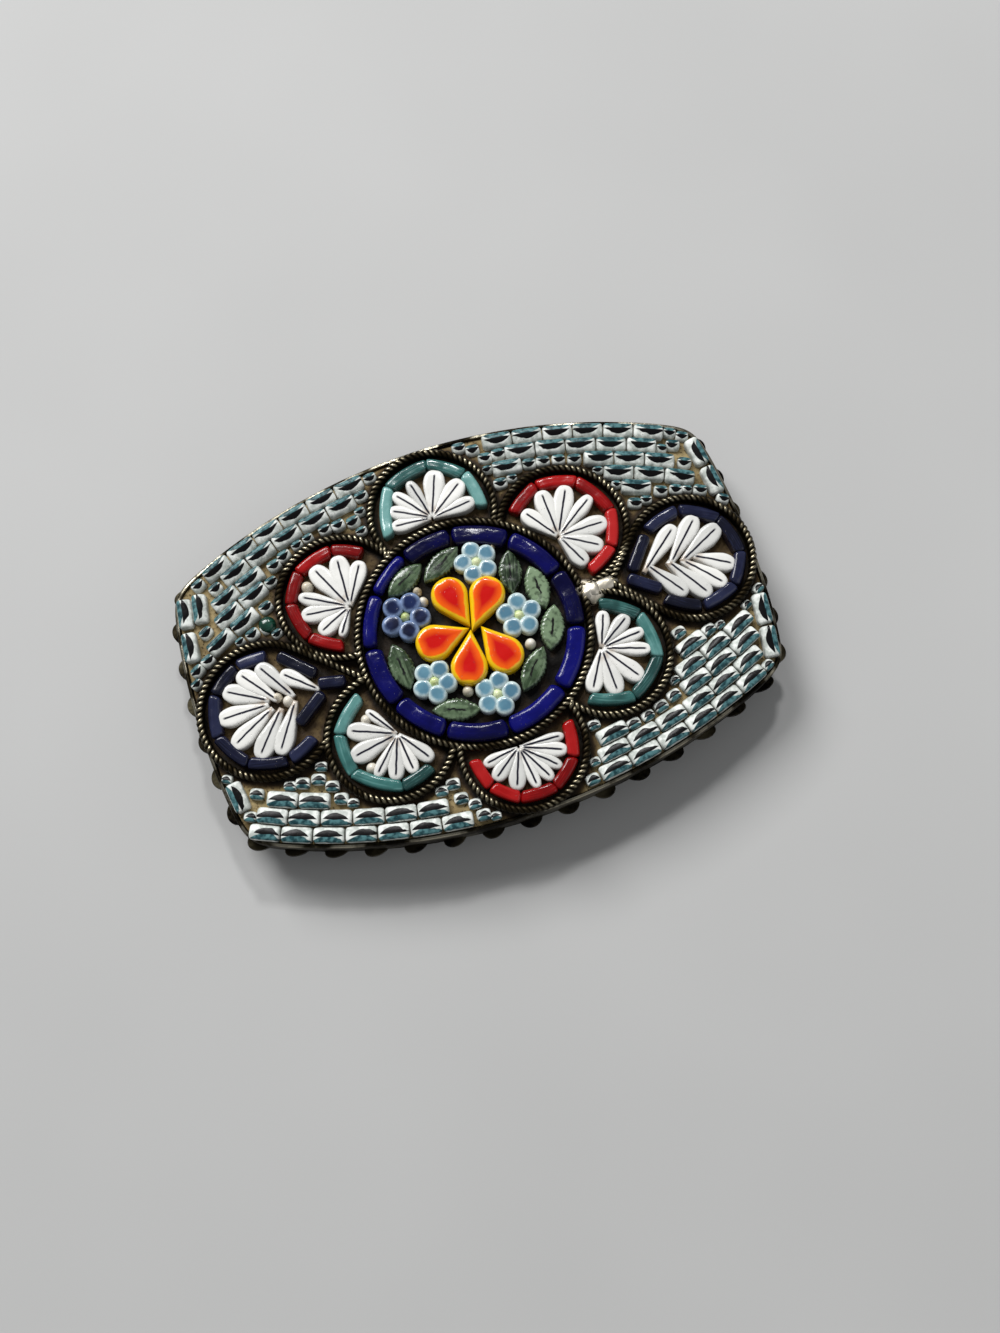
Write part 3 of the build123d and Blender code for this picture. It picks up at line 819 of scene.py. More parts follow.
class Graph:
    """Nodes of one material or of one shared group."""

    def __init__(self, tree: bpy.types.NodeTree) -> None:
        """Starts on a tree of nodes."""
        self.tree = tree

    def feed(self, socket: Socket, value: object) -> None:
        """Gives an input a value, or links another node's output to it.

        Args:
            socket: The input.
            value: A number, a colour, a vector or an output.
        """
        if isinstance(value, Socket):
            self.tree.links.new(value, socket)
        elif socket.type == "RGBA":
            socket.default_value = (*value, 1.0)
        else:
            socket.default_value = value

    def node(self, kind: str, feeds: dict[int | str, object], **settings: object) -> bpy.types.Node:
        """Adds a node.

        Args:
            kind: Its type.
            feeds: A value or another node's output for each input, by name or number.
            **settings: The node's own settings.

        Returns:
            The new node.
        """
        made = self.tree.nodes.new(kind)
        for key, value in settings.items():
            setattr(made, key, value)
        for key, value in feeds.items():
            self.feed(made.inputs[key], value)
        return made

    def group(self, shared: bpy.types.NodeTree, feeds: dict[int | str, object]) -> bpy.types.Node:
        """Places a shared group."""
        return self.node("ShaderNodeGroup", feeds, node_tree=shared)

    def math(self, action: str, first: object, second: object = 0.0) -> Socket:
        """The result of a sum or another action on two numbers."""
        return self.node("ShaderNodeMath", {0: first, 1: second}, operation=action).outputs[0]

    def times(self, *values: object) -> Socket:
        """The product of numbers."""
        return reduce(partial(self.math, "MULTIPLY"), values)

    def plus(self, *values: object) -> Socket:
        """The sum of numbers."""
        return reduce(partial(self.math, "ADD"), values)

    def minus(self, first: object, second: object) -> Socket:
        """The difference of two numbers."""
        return self.math("SUBTRACT", first, second)

    def most(self, first: object, second: object) -> Socket:
        """The larger of two numbers."""
        return self.math("MAXIMUM", first, second)

    def swing(self, value: object, amount: float) -> Socket:
        """A number about a half as one about 0: the value less a half, times an amount."""
        return self.times(self.minus(value, 0.5), amount)

    def mix(self, share: object, low: object, high: object) -> Socket:
        """A colour between two."""
        feeds = {0: share, 6: low, 7: high}
        return self.node("ShaderNodeMix", feeds, data_type="RGBA").outputs[2]

    def between(self, share: object, low: float, high: float) -> Socket:
        """A number between two."""
        return self.node("ShaderNodeMix", {0: share, 2: low, 3: high}, data_type="FLOAT").outputs[0]

    def step(self, value: object, low: float, high: float) -> Socket:
        """0 below low, 1 above high, and eased between them."""
        feeds = {0: value, 1: low, 2: high}
        return self.node("ShaderNodeMapRange", feeds, interpolation_type="SMOOTHSTEP").outputs[0]

    def below(self, value: object, low: float, high: float) -> Socket:
        """1 below low, 0 above high, and eased between them."""
        return self.minus(1.0, self.step(value, low, high))

    def ramp(self, value: object, stops: list[tuple[float, Colour]]) -> Socket:
        """A colour picked along a row of stops.

        Args:
            value: The place along the row.
            stops: Places and colours.

        Returns:
            The colour.
        """
        made = self.node("ShaderNodeValToRGB", {0: value})
        points = made.color_ramp.elements
        while len(points) < len(stops):
            points.new(0.5)
        for point, (place, colour) in zip(points, stops):
            point.position = place
            point.color = (*colour, 1.0)
        return made.outputs[0]

    def noise(self, place: object, size: float, detail: float = 2.0) -> Socket:
        """Uneven numbers, mostly 0.3 to 0.7, with lumps of a size in the place's own unit."""
        feeds = {"Vector": place, "Scale": 1.0 / size, "Detail": detail}
        return self.node("ShaderNodeTexNoise", feeds).outputs[0]

    def place(self) -> Socket:
        """Millimetres on the brooch."""
        feeds = {0: self.node("ShaderNodeTexCoord", {}).outputs["Object"], 1: (1 / MM,) * 3}
        return self.node("ShaderNodeVectorMath", feeds, operation="MULTIPLY").outputs[0]

    def traits(self) -> tuple[Socket, ...]:
        """Tone, rise and edge distance."""
        value = self.node("ShaderNodeAttribute", {}, attribute_name="traits").outputs["Vector"]
        return tuple(self.node("ShaderNodeSeparateXYZ", {0: value}).outputs)

    def pattern(self) -> tuple[Socket, ...]:
        """The two parts of a stone's pattern place."""
        value = self.node("ShaderNodeUVMap", {}, uv_map="pattern").outputs[0]
        return tuple(self.node("ShaderNodeSeparateXYZ", {0: value}).outputs)[:2]

    def fibres(self) -> Socket:
        """A place that is five times finer across a stone, and another for each tone."""
        u, v = self.pattern()
        feeds = {0: u, 1: self.times(v, 5.0), 2: self.traits()[0]}
        return self.node("ShaderNodeCombineXYZ", feeds).outputs[0]

    def surface(self, colour: Socket, rough: Socket, height: Socket, strength: float) -> bpy.types.Node:
        """Feeds the material's shader.

        Args:
            colour: Its base colour.
            rough: Its roughness.
            height: Bumps in millimetres.
            strength: How much the bumps tell, 0 to 1.

        Returns:
            The shader.
        """
        shader = self.tree.nodes["Principled BSDF"]
        bump = self.node("ShaderNodeBump", {"Strength": strength, "Distance": MM, "Height": height})
        self.feed(shader.inputs["Base Color"], colour)
        self.feed(shader.inputs["Roughness"], rough)
        self.feed(shader.inputs["Normal"], bump.outputs[0])
        return shader


def new_material(name: str) -> tuple[bpy.types.Material, Graph]:
    """Starts a material, which has its shader from the first.

    Args:
        name: Its name.

    Returns:
        The material and the graph of its nodes.
    """
    made = bpy.data.materials.new(name)
    made.use_nodes = True
    return made, Graph(made.node_tree)


def shared_group(
    name: str, inputs: list[str], outputs: list[str]
) -> tuple[Graph, bpy.types.NodeOutputs, bpy.types.NodeInputs]:
    """Starts a shared group of nodes whose sockets are all numbers.

    Args:
        name: Its name.
        inputs: Names of its inputs.
        outputs: Names of its outputs.

    Returns:
        Its graph, what it is given, and the sockets for what it gives.
    """
    tree = bpy.data.node_groups.new(name, "ShaderNodeTree")
    for way, words in (("INPUT", inputs), ("OUTPUT", outputs)):
        for word in words:
            tree.interface.new_socket(word, in_out=way, socket_type="NodeSocketFloat")
    graph = Graph(tree)
    return graph, graph.node("NodeGroupInput", {}).outputs, graph.node("NodeGroupOutput", {}).inputs


class Effects:
    """The groups that more than one material uses."""

    def __init__(self) -> None:
        """Builds both groups."""
        self.grime = self.make_grime()
        self.grain = self.make_grain()

    def make_grime(self) -> bpy.types.NodeTree:
        """Dirt that fills the foot of a piece and creeps up its sides in patches.

        The foot is dirty up to a rise of 0.05 to 0.4, and a thin line along the edge up to 0.08 mm
        from it. Both limits are moved by the same patches.

        Returns:
            The group.
        """
        graph, given, result = shared_group("grime_in_joints", ["Rise", "Edge", "Amount"], ["Mask"])
        patches = graph.noise(graph.place(), 0.55, 3.0)
        foot = graph.below(graph.plus(given["Rise"], graph.swing(patches, 0.9)), 0.05, 0.4)
        edge = graph.below(graph.plus(given["Edge"], graph.swing(patches, 0.25)), 0.0, 0.08)
        mask = graph.times(graph.most(foot, graph.times(edge, 0.6)), given["Amount"])
        graph.feed(result["Mask"], graph.math("MINIMUM", mask, 1.0))
        return graph.tree

    def make_grain(self) -> bpy.types.NodeTree:
        """Pits and ripples of old hand-cut glass, as specks and as a height in millimetres.

        A pit lies at the middle of a small cell where a wider noise allows one.

        Returns:
            The group.
        """
        graph, given, result = shared_group("worn_glass", ["Depth"], ["Specks", "Height"])
        place = graph.place()
        cells = graph.node("ShaderNodeTexVoronoi", {"Vector": place, "Scale": 4.2}).outputs["Distance"]
        specks = graph.times(graph.below(cells, 0.05, 0.22), graph.step(graph.noise(place, 0.8), 0.52, 0.62))
        height = graph.minus(graph.noise(place, 0.5, 3.0), graph.times(specks, 0.8))
        graph.feed(result["Specks"], specks)
        graph.feed(result["Height"], graph.times(height, given["Depth"]))
        return graph.tree


EFFECTS = Effects()
DIRT = ink(58, 42, 24)
BLACK = ink(11, 10, 12)
INDIGO = ink(22, 23, 40)
CHALK = ink(184, 190, 184)


class Pattern(Enum):
    """How a stone's colour is laid out."""

    STREAKED = "streaked"
    CENTRE_LINE = "centre line"
    CRESCENTS = "crescents"
    CORED = "cored"
    SLIT = "slit"
    RIMMED = "rimmed"


@dataclass(frozen=True)
class Glass:
    """A kind of glass: three tones of its colour, and how it is worn.

    Each pattern is a method that takes the material's graph and returns the colour. Its u and v are
    the stone's pattern place, u along the stone and v across it.
    """

    name: str
    slot: str
    deep: Colour
    main: Colour
    pale: Colour
    pattern: Pattern = Pattern.STREAKED
    roughness: float = 0.2
    grime: float = 0.9
    depth: float = 0.03
    coat: float = 0.15
    gloss: float = 0.5
    streaks: float = 0.45
    coat_roughness: float = 0.1
    dirt_roughness: float = 0.62

    def clouds(self, graph: Graph) -> Socket:
        """Cloudy numbers about 0, by which the glass is paler and deeper."""
        return graph.swing(graph.noise(graph.place(), 1.6, 3.0), 0.9)

    def toned(self, graph: Graph, spread: float = 1.0) -> Socket:
        """A tone between the glass's three, by the stone and by its clouds.

        Args:
            graph: The material's nodes.
            spread: How much the stones differ.

        Returns:
            The colour.
        """
        level = graph.plus(graph.times(graph.traits()[0], spread), self.clouds(graph))
        return graph.ramp(level, [(0.1, self.deep), (0.5, self.main), (0.95, self.pale)])

    def streaked(self, graph: Graph) -> Socket:
        """Thin pale streaks that run along the stone."""
        streak = graph.step(graph.noise(graph.fibres(), 1.0), 0.5, 0.72)
        return graph.mix(graph.times(streak, self.streaks), self.toned(graph), self.pale)

    def centre_line(self, graph: Graph) -> Socket:
        """A fine dark line from the root to near the end, and a warm stain at the root.

        The line is 0.05 to 0.11 mm either side of a wobbling middle.

        Args:
            graph: The material's nodes.

        Returns:
            The colour.
        """
        u, v = graph.pattern()
        place = graph.place()
        base = graph.mix(graph.plus(graph.traits()[0], self.clouds(graph)), self.main, self.pale)
        off = graph.math("ABSOLUTE", graph.plus(v, graph.swing(graph.noise(place, 0.7), 0.09)))
        ends = graph.times(graph.step(u, 0.04, 0.12), graph.below(u, 0.85, 0.92))
        line = graph.times(graph.below(off, 0.05, 0.11), ends)
        stain = graph.times(graph.below(u, 0.0, 0.4), graph.step(graph.noise(place, 0.6), 0.42, 0.62), 0.6)
        return graph.mix(line, graph.mix(stain, base, self.deep), INDIGO)

    def crescents(self, graph: Graph) -> Socket:
        """A coloured half moon on the outer side, and a black crescent below it.

        The half moon lies between v = 0.9 and v = 0.1 + 0.6 u^2, and the crescent within
        0.43 (1 - u^2 / 0.88) of v = -0.2 + 0.45 u^2. Both are shifted by noise and by the tone.

        Args:
            graph: The material's nodes.

        Returns:
            The colour.
        """
        u, v = graph.pattern()
        place = graph.place()
        base = graph.mix(graph.step(graph.noise(place, 0.5), 0.35, 0.65), CHALK, self.pale)
        shift = graph.swing(graph.noise(place, 0.9), 0.6)
        u = graph.plus(u, shift, graph.swing(graph.traits()[0], 0.3))
        v = graph.plus(v, graph.times(shift, 0.6))
        square = graph.times(u, u)
        inner = graph.minus(v, graph.plus(graph.times(square, 0.6), 0.1))
        moon = graph.times(graph.step(inner, -0.04, 0.06), graph.below(v, 0.85, 0.95))
        cloudy = graph.mix(graph.step(graph.noise(place, 0.35), 0.35, 0.65), self.deep, self.main)
        off = graph.math("ABSOLUTE", graph.minus(graph.plus(v, 0.2), graph.times(square, 0.45)))
        thick = graph.times(graph.minus(1.0, graph.math("DIVIDE", square, 0.88)), 0.43)
        dark = graph.step(graph.minus(thick, off), -0.02, 0.05)
        return graph.mix(dark, graph.mix(moon, base, cloudy), BLACK)

    def cored(self, graph: Graph) -> Socket:
        """Layers from a yellow rim through orange to a red core, by distance from the edge."""
        inward = graph.plus(graph.traits()[2], graph.swing(graph.noise(graph.place(), 1.1, 3.0), 0.3))
        return graph.ramp(inward, [(0.26, self.pale), (0.38, self.main), (1.04, self.deep)])

    def slit(self, graph: Graph) -> Socket:
        """Mottled streaks along a leaf, a pale fringe, and a short dark slit at its middle.

        Args:
            graph: The material's nodes.

        Returns:
            The colour.
        """
        u, v = graph.pattern()
        place = graph.place()
        streak = graph.times(graph.step(graph.noise(graph.fibres(), 1.0, 3.0), 0.42, 0.68), 0.5)
        rim = graph.below(graph.traits()[2], 0.02, 0.3)
        fringe = graph.times(rim, graph.step(graph.noise(place, 0.7), 0.45, 0.6), 0.7)
        streaked = graph.mix(graph.most(streak, fringe), self.toned(graph), self.pale)
        mottle = graph.times(graph.step(graph.noise(place, 0.45, 4.0), 0.48, 0.64), 0.6)
        off = graph.math("ABSOLUTE", graph.plus(v, graph.swing(graph.noise(place, 0.6), 0.5)))
        cut = graph.times(graph.below(off, 0.04, 0.12), graph.below(graph.math("ABSOLUTE", u), 0.3, 0.45))
        return graph.mix(cut, graph.mix(mottle, streaked, self.deep), BLACK)

    def rimmed(self, graph: Graph) -> Socket:
        """A pale rim of uneven width, by the distance from the middle in half sizes.

        Args:
            graph: The material's nodes.

        Returns:
            The colour.
        """
        u, v = graph.pattern()
        out = graph.math("SQRT", graph.plus(graph.times(u, u), graph.times(v, v)))
        uneven = graph.swing(graph.noise(graph.place(), 0.6), 0.6)
        return graph.mix(graph.step(graph.plus(out, uneven), 0.46, 1.0), self.toned(graph, 0.35), self.pale)

    def material(self) -> bpy.types.Material:
        """The finish as a material: pattern, dirt in the joints, gloss and pitted surface.

        Returns:
            The material.
        """
        made, graph = new_material(self.name)
        layout = {
            Pattern.STREAKED: self.streaked, Pattern.CENTRE_LINE: self.centre_line,
            Pattern.CRESCENTS: self.crescents, Pattern.CORED: self.cored,
            Pattern.SLIT: self.slit, Pattern.RIMMED: self.rimmed}[self.pattern]
        _, rise, edge = graph.traits()
        worn = graph.group(EFFECTS.grain, {"Depth": self.depth}).outputs
        joints = graph.group(EFFECTS.grime, {"Rise": rise, "Edge": edge, "Amount": self.grime}).outputs
        dirt = graph.most(joints["Mask"], graph.times(worn["Specks"], self.grime))
        rough = graph.between(dirt, self.roughness, self.dirt_roughness)
        shader = graph.surface(graph.mix(dirt, layout(graph), DIRT), rough, worn["Height"], 0.6)
        shader.inputs["Specular IOR Level"].default_value = self.gloss
        shader.inputs["Coat Weight"].default_value = self.coat
        shader.inputs["Coat Roughness"].default_value = self.coat_roughness
        return made


class WearAndSheen(Enum):
    """Where old brass is rubbed bright; strands and rims also get a painted highlight on top and painted
    shade lower down.
    """

    PATCHES = "patches"
    STRANDS = "strands"
    TOP = "top"


@dataclass(frozen=True)
class Brass:
    """Old brass: bright where it is rubbed, dark in its hollows, and for strands and rims also painted
    lighter on top and darker below.
    """

    name: str
    slot: str
    bright: Colour
    dull: Colour
    dark: Colour
    wear_and_sheen: WearAndSheen = WearAndSheen.PATCHES

    def shares(self, graph: Graph, patches: Socket, fine: Socket) -> tuple[Socket, Socket]:
        """How bright and how dark each place is, by wear and tarnish, with painted highlight and shade for
        strands and rims.

        Strands are bright on their crests where these are on top, and a rim on its top: rubbed wear and a
        painted highlight at once. Strands are dark low down and on their inner sides, tarnish with painted
        shade, and a rim's sides stay dull as painted shade. What is left is rubbed in patches.

        Args:
            graph: The material's nodes.
            patches: Wide unevenness.
            fine: Fine unevenness.

        Returns:
            The bright share, rubbed wear with any painted highlight, and the dark share, tarnish with any
            painted shade.
        """
        _, rise, crest = graph.traits()
        if self.wear_and_sheen is WearAndSheen.STRANDS:
            # Painted highlight with wear on crests that face up; painted shade with tarnish low on and
            # between the strands.
            upper = graph.times(graph.step(crest, 0.75, 1.0), graph.step(rise, 0.76, 0.98))
            tarnish_and_shade = graph.most(graph.below(crest, 0.3, 0.75), graph.below(rise, 0.3, 0.75))
            return graph.times(upper, graph.step(patches, 0.4, 0.62)), tarnish_and_shade
        rubbed_and_sheen = graph.times(graph.step(patches, 0.48, 0.66), 0.6)
        tarnish_and_shade = graph.below(graph.plus(patches, graph.times(fine, 0.3)), 0.5, 0.64)
        if self.wear_and_sheen is WearAndSheen.PATCHES:
            return rubbed_and_sheen, tarnish_and_shade
        # Painted highlight with wear along the rim's top; its sides keep the duller colour as painted shade.
        top = graph.times(graph.step(rise, 0.5, 0.95), graph.step(patches, 0.46, 0.6))
        return graph.most(graph.times(rubbed_and_sheen, 0.35), top), graph.times(tarnish_and_shade, graph.minus(1.0, top))

    def material(self) -> bpy.types.Material:
        """The finish as a material.

        Returns:
            The material.
        """
        made, graph = new_material(self.name)
        place = graph.place()
        patches = graph.noise(place, 2.6, 4.0)
        fine = graph.noise(place, 0.25, 3.0)
        rubbed_and_sheen, tarnish_and_shade = self.shares(graph, patches, fine)
        # Dull to bright by the bright share, then to dark by the dark share: wear and tarnish, with painted
        # highlight and shade for strands and rims.
        colour = graph.mix(tarnish_and_shade, graph.mix(rubbed_and_sheen, self.dull, self.bright), self.dark)
        rough = graph.plus(graph.between(rubbed_and_sheen, 0.5, 0.26), graph.times(tarnish_and_shade, 0.2))
        height = graph.plus(graph.times(fine, 0.03), graph.times(patches, 0.05))
        graph.surface(colour, rough, height, 0.7).inputs["Metallic"].default_value = 1.0
        return made


@dataclass(frozen=True)
class Putty:
    """The cement: ochre and sandy in the open, dark with old polish in the cells and the disc."""

    name: str = "ochre_cement"
    slot: str = "cement"
    pale: Colour = ink(160, 142, 102)
    ochre: Colour = ink(106, 88, 56)
    brown: Colour = ink(58, 44, 27)
    dark: Colour = ink(10, 7, 5)
    gloss: float = 0.2

    def material(self) -> bpy.types.Material:
        """The finish as a material. The first trait is how dark the place is.

        Returns:
            The material.
        """
        made, graph = new_material(self.name)
        place = graph.place()
        coarse = graph.noise(place, 1.3, 4.0)
        fine = graph.noise(place, 0.22, 3.0)
        shade = graph.plus(graph.traits()[0], graph.swing(coarse, 0.9))
        stops = [(0.0, self.pale), (0.3, self.ochre), (0.62, self.brown), (0.95, self.dark)]
        crumbs = graph.times(graph.step(fine, 0.55, 0.7), graph.below(shade, 0.5, 0.8))
        height = graph.plus(graph.times(fine, 0.06), graph.times(coarse, 0.15))
        rough = graph.between(fine, 0.6, 0.85)
        colour = graph.mix(crumbs, graph.ramp(shade, stops), self.brown)
        shader = graph.surface(colour, rough, height, 0.8)
        shader.inputs["Specular IOR Level"].default_value = self.gloss
        return made


# Finishes: their name, their slot, and their tones from deep to pale, or from bright to dark

# Twisted wire: bright colour on crests that face up, as wear and a painted highlight; dark colour low on the
# strands, as tarnish and painted shade.
WIRE = Brass(
    "twisted_brass", "tarnished_brass", ink(164, 155, 130), ink(38, 32, 21), ink(6, 5, 4), WearAndSheen.STRANDS)
SHEET = Brass("tarnished_brass", "tarnished_brass", ink(100, 94, 74), ink(40, 36, 26), ink(14, 12, 10))
# Rim brass: bright along its top, as rubbed wear and a painted highlight; its sides stay dull as painted
# shade.
RIM_WEAR_AND_SHEEN = Brass(
    "rim_brass_wear_and_painted_sheen", "tarnished_brass", ink(168, 162, 144), ink(46, 41, 30), ink(22, 19, 14), WearAndSheen.TOP)
# Solder: silvery metal painted near white, a painted glare.
SOLDER_GLARE = Brass("solder_painted_glare", "tarnished_brass", ink(246, 240, 228), ink(196, 188, 170), ink(104, 96, 80))
FITTING = Brass("fitting_brass", "fitting_brass", ink(196, 170, 108), ink(140, 116, 66), ink(60, 48, 28))
PUTTY = Putty()
COBALT = Glass(
    "cobalt_glass", "cobalt_glass", ink(0, 0, 46), ink(2, 2, 74), ink(8, 10, 102),
    grime=0.4, depth=0.07, coat=0.14, gloss=0.25, streaks=0.15)
ORANGE = Glass(
    "orange_glass", "orange_glass", ink(200, 6, 0), ink(248, 100, 2), ink(240, 194, 12), Pattern.CORED,
    roughness=0.16, grime=0.35)
LEAF = Glass(
    "leaf_glass", "leaf_glass", ink(22, 36, 20), ink(58, 78, 52), ink(124, 146, 114), Pattern.SLIT, grime=0.4)
NIGHT = Glass(
    "dark_blue_glass", "dark_blue_glass", ink(4, 12, 44), ink(20, 40, 88), ink(130, 152, 190), Pattern.RIMMED,
    grime=0.3)
SKY = Glass(
    "pale_blue_glass", "pale_blue_glass", ink(80, 122, 144), ink(108, 154, 172), ink(214, 230, 228),
    Pattern.RIMMED, grime=0.3)
MILK = Glass(
    "white_glass", "white_glass", ink(150, 112, 60), ink(212, 212, 208), ink(240, 239, 234),
    Pattern.CENTRE_LINE, grime=0.5)
TEAL = Glass("teal_glass", "teal_glass", ink(30, 66, 64), ink(58, 112, 108), ink(110, 160, 156), grime=0.5)
RED = Glass(
    "red_glass", "red_glass", ink(112, 3, 5), ink(154, 7, 8), ink(180, 34, 34),
    grime=0.45, coat=0.12, gloss=0.3)
NAVY = Glass(
    "navy_glass", "navy_glass", ink(9, 11, 28), ink(18, 21, 46), ink(40, 45, 74),
    grime=0.45, coat=0.1, gloss=0.35)
BANDED = Glass(
    "banded_glass", "banded_glass", ink(32, 64, 70), ink(84, 126, 130), ink(234, 237, 232), Pattern.CRESCENTS,
    roughness=0.28, grime=0.5, coat=0.0, gloss=0.16)
PEARL = Glass(
    "pearl_glass", "white_glass", ink(190, 176, 148), ink(224, 216, 198), ink(242, 238, 228), grime=0.25)
HEART = Glass(
    "heart_glass", "white_glass", ink(168, 184, 110), ink(208, 220, 156), ink(234, 240, 206), grime=0.2)
SPRING = Glass("green_bead_glass", "teal_glass", ink(8, 34, 26), ink(16, 60, 46), ink(50, 108, 90), grime=0.5)

Finish = Glass | Brass | Putty
LOOKS: dict[str, bpy.types.Material] = {}


def look(finish: Finish) -> bpy.types.Material:
    """The material of a finish, made once.

    Args:
        finish: The finish.

    Returns:
        Its material.
    """
    if finish.name not in LOOKS:
        LOOKS[finish.name] = finish.material()
    return LOOKS[finish.name]


def dress(
    node: str,
    kind: Kind,
    shape: type[Stones],
    glass: Glass,
    seed: int,
    cell: Cell = DISC,
    longer: float = 0.0,
    wider: float = 0.0,
    back: float = 0.0,
    **sizes: float | tuple[float, ...],
) -> Seats:
    """Makes the stones that stand for one solid model.

    Args:
        node: Its name.
        kind: How the stones' axes are found.
        shape: Their class.
        glass: Their finish.
        seed: Number of their unevenness.
        cell: The cell that bent bars follow.
        longer: How much longer the dressed stones are.
        wider: How much wider they are.
        back: How much longer they are at the root.
        **sizes: Sizes that differ from the class's own.

    Returns:
        Where the stones stand.
    """
    seats = read_seats(node, kind, cell)
    seats.grow(longer, wider)
    seats.draw_back(back)
    if shape is Bricks:
        seats.face_out()
    piece = shape(seats, seed=seed, **sizes).make(f"{node}_glass", look(glass), glass.slot)
    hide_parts(node)
    return seats


# The setting

@dataclass
class Rim:
    """The edge of the tray, two long arcs and two short ones, rounded at the corners."""

    half_length: float = HALF_LENGTH
    half_width: float = HALF_WIDTH
    side_radius: float = 49.40
    end_radius: float = 54.70
    softness: float = 1.6

    @staticmethod
    def meet(cosine: Array, sine: Array, radius: float, back: float) -> Array:
        """Distance along a ray to an arc whose centre lies back past the middle."""
        return np.sqrt(radius ** 2 - (back * sine) ** 2) - back * cosine

    def reach(self, turn: Array, inset: float = 0.0) -> Array:
        """Distance of the edge from the middle in a direction.

        A ray meets an arc whose centre is c past the middle at sqrt(r^2 - (c sin a)^2) - c cos a,
        a being its angle from the arc's axis. The nearer of both arcs counts, and the corner
        between them is eased by -log(exp(-k a) + exp(-k b)) / k.

        Args:
            turn: Directions, in radians.
            inset: How far inside the edge.

        Returns:
            One distance for each direction.
        """
        cos, sin = np.abs(np.cos(turn)), np.abs(np.sin(turn))
        side = self.meet(sin, cos, self.side_radius - inset, self.side_radius - self.half_width)
        end = self.meet(cos, sin, self.end_radius - inset, self.end_radius - self.half_length)
        gap = np.abs(side - end)
        return np.minimum(side, end) - np.log1p(np.exp(-self.softness * gap)) / self.softness


RIM = Rim()
BED_INSET = 0.36        # from the rim's outside to the cement's edge, and to the stones


def fan_faces(ring: Array, pole: int) -> Array:
    """Triangles from each point of a closed ring to its next point and to a pole."""
    return np.stack([ring, np.roll(ring, -1), np.full(len(ring), pole)], -1)


def stretches(keep: Array, least: int = 13) -> list[Array]:
    """Stretches of a closed row of places that are kept.

    Args:
        keep: Whether each place is kept.
        least: The fewest places that make a stretch.

    Returns:
        The numbers of each stretch's places.
    """
    if keep.all():
        return [np.arange(len(keep))]
    order = (np.arange(len(keep)) + int(np.argmin(keep))) % len(keep)
    cuts = np.flatnonzero(np.diff(keep[order].astype(int))) + 1
    return [part for part in np.split(order, cuts) if keep[part[0]] and len(part) >= least]


def cell_line(cell: Cell, count: int = 720) -> Array:
    """The line of a cell's wire: a circle, or a circle with two straight lines to its tip.

    The lines touch the circle at acos(radius / distance of the tip) either side of the tip.

    Args:
        cell: The cell.
        count: How many points, two thirds of them on the circle where there is a tip.

    Returns:
        x and y of points round the cell.
    """
    middle = np.array([cell.x, cell.y])
    if cell.tip_x is None:
        return middle + polar(directions(count), cell.radius)
    tip = abs(cell.tip_x - cell.x)
    lean = np.arccos(cell.radius / tip)
    curve = polar(np.linspace(lean, 2 * np.pi - lean, count * 2 // 3), cell.radius)
    share = np.linspace(0, 1, count // 6, endpoint=False)[:, None]
    end = np.array([[tip, 0.0]])
    from_tip = end * (1 - share) + curve[0] * share
    to_tip = curve[-1] * (1 - share) + end * share
    line = np.concatenate([from_tip, curve, to_tip])
    return middle + line * np.array([np.sign(cell.tip_x - cell.x), 1.0])


@dataclass
class Wire:
    """A wire's line, as x and y of its points, and whether it closes on itself."""

    line: Array
    closed: bool

    def spread(self, step: float) -> float:
        """Spreads the points evenly along the line.

        Args:
            step: Wanted spacing.

        Returns:
            The line's length.
        """
        whole = np.concatenate([self.line, self.line[:1]]) if self.closed else self.line
        gone = np.concatenate([[0.0], np.cumsum(np.linalg.norm(np.diff(whole, axis=0), axis=1))])
        count = max(int(round(gone[-1] / step)), 2)
        at = np.linspace(0, gone[-1], count + 1)[:count if self.closed else None]
        self.line = np.stack([np.interp(at, gone, whole[:, 0]), np.interp(at, gone, whole[:, 1])], -1)
        return gone[-1]

    def frames(self, lift: float) -> tuple[Array, Array, Array, Array]:
        """Points over the line with their directions.

        Args:
            lift: Height over the face.

        Returns:
            The points, and the directions along, beside and up.
        """
        x, y = self.line[:, 0], self.line[:, 1]
        points = DOME.place(x, y, lift)
        up = unit(DOME.place(x, y, 1.0) - DOME.place(x, y, 0.0))
        if self.closed:
            ahead = np.roll(points, -1, axis=0) - np.roll(points, 1, axis=0)
        else:
            ahead = np.gradient(points, axis=0)
        ahead = unit(ahead)
        beside = unit(np.cross(up, ahead))
        return points, ahead, beside, np.cross(ahead, beside)


def setting_wires() -> list[Wire]:
    """The wires of the disc and of every cell, each cut where another wire's room begins.

    Returns:
        The closed ring first, then the open wires.
    """
    found = [Wire(cell_line(DISC), True)]
    for cell in CELLS:
        line = cell_line(cell)
        x, y = line[:, 0], line[:, 1]
        keep = DISC.distance(x, y) > DISC.radius
        for lobe in CELLS:
            if cell.tip_x is not None and lobe.tip_x is None:
                keep &= lobe.distance(x, y) > lobe.radius
        found += [Wire(line[part], False) for part in stretches(keep)]
    return found


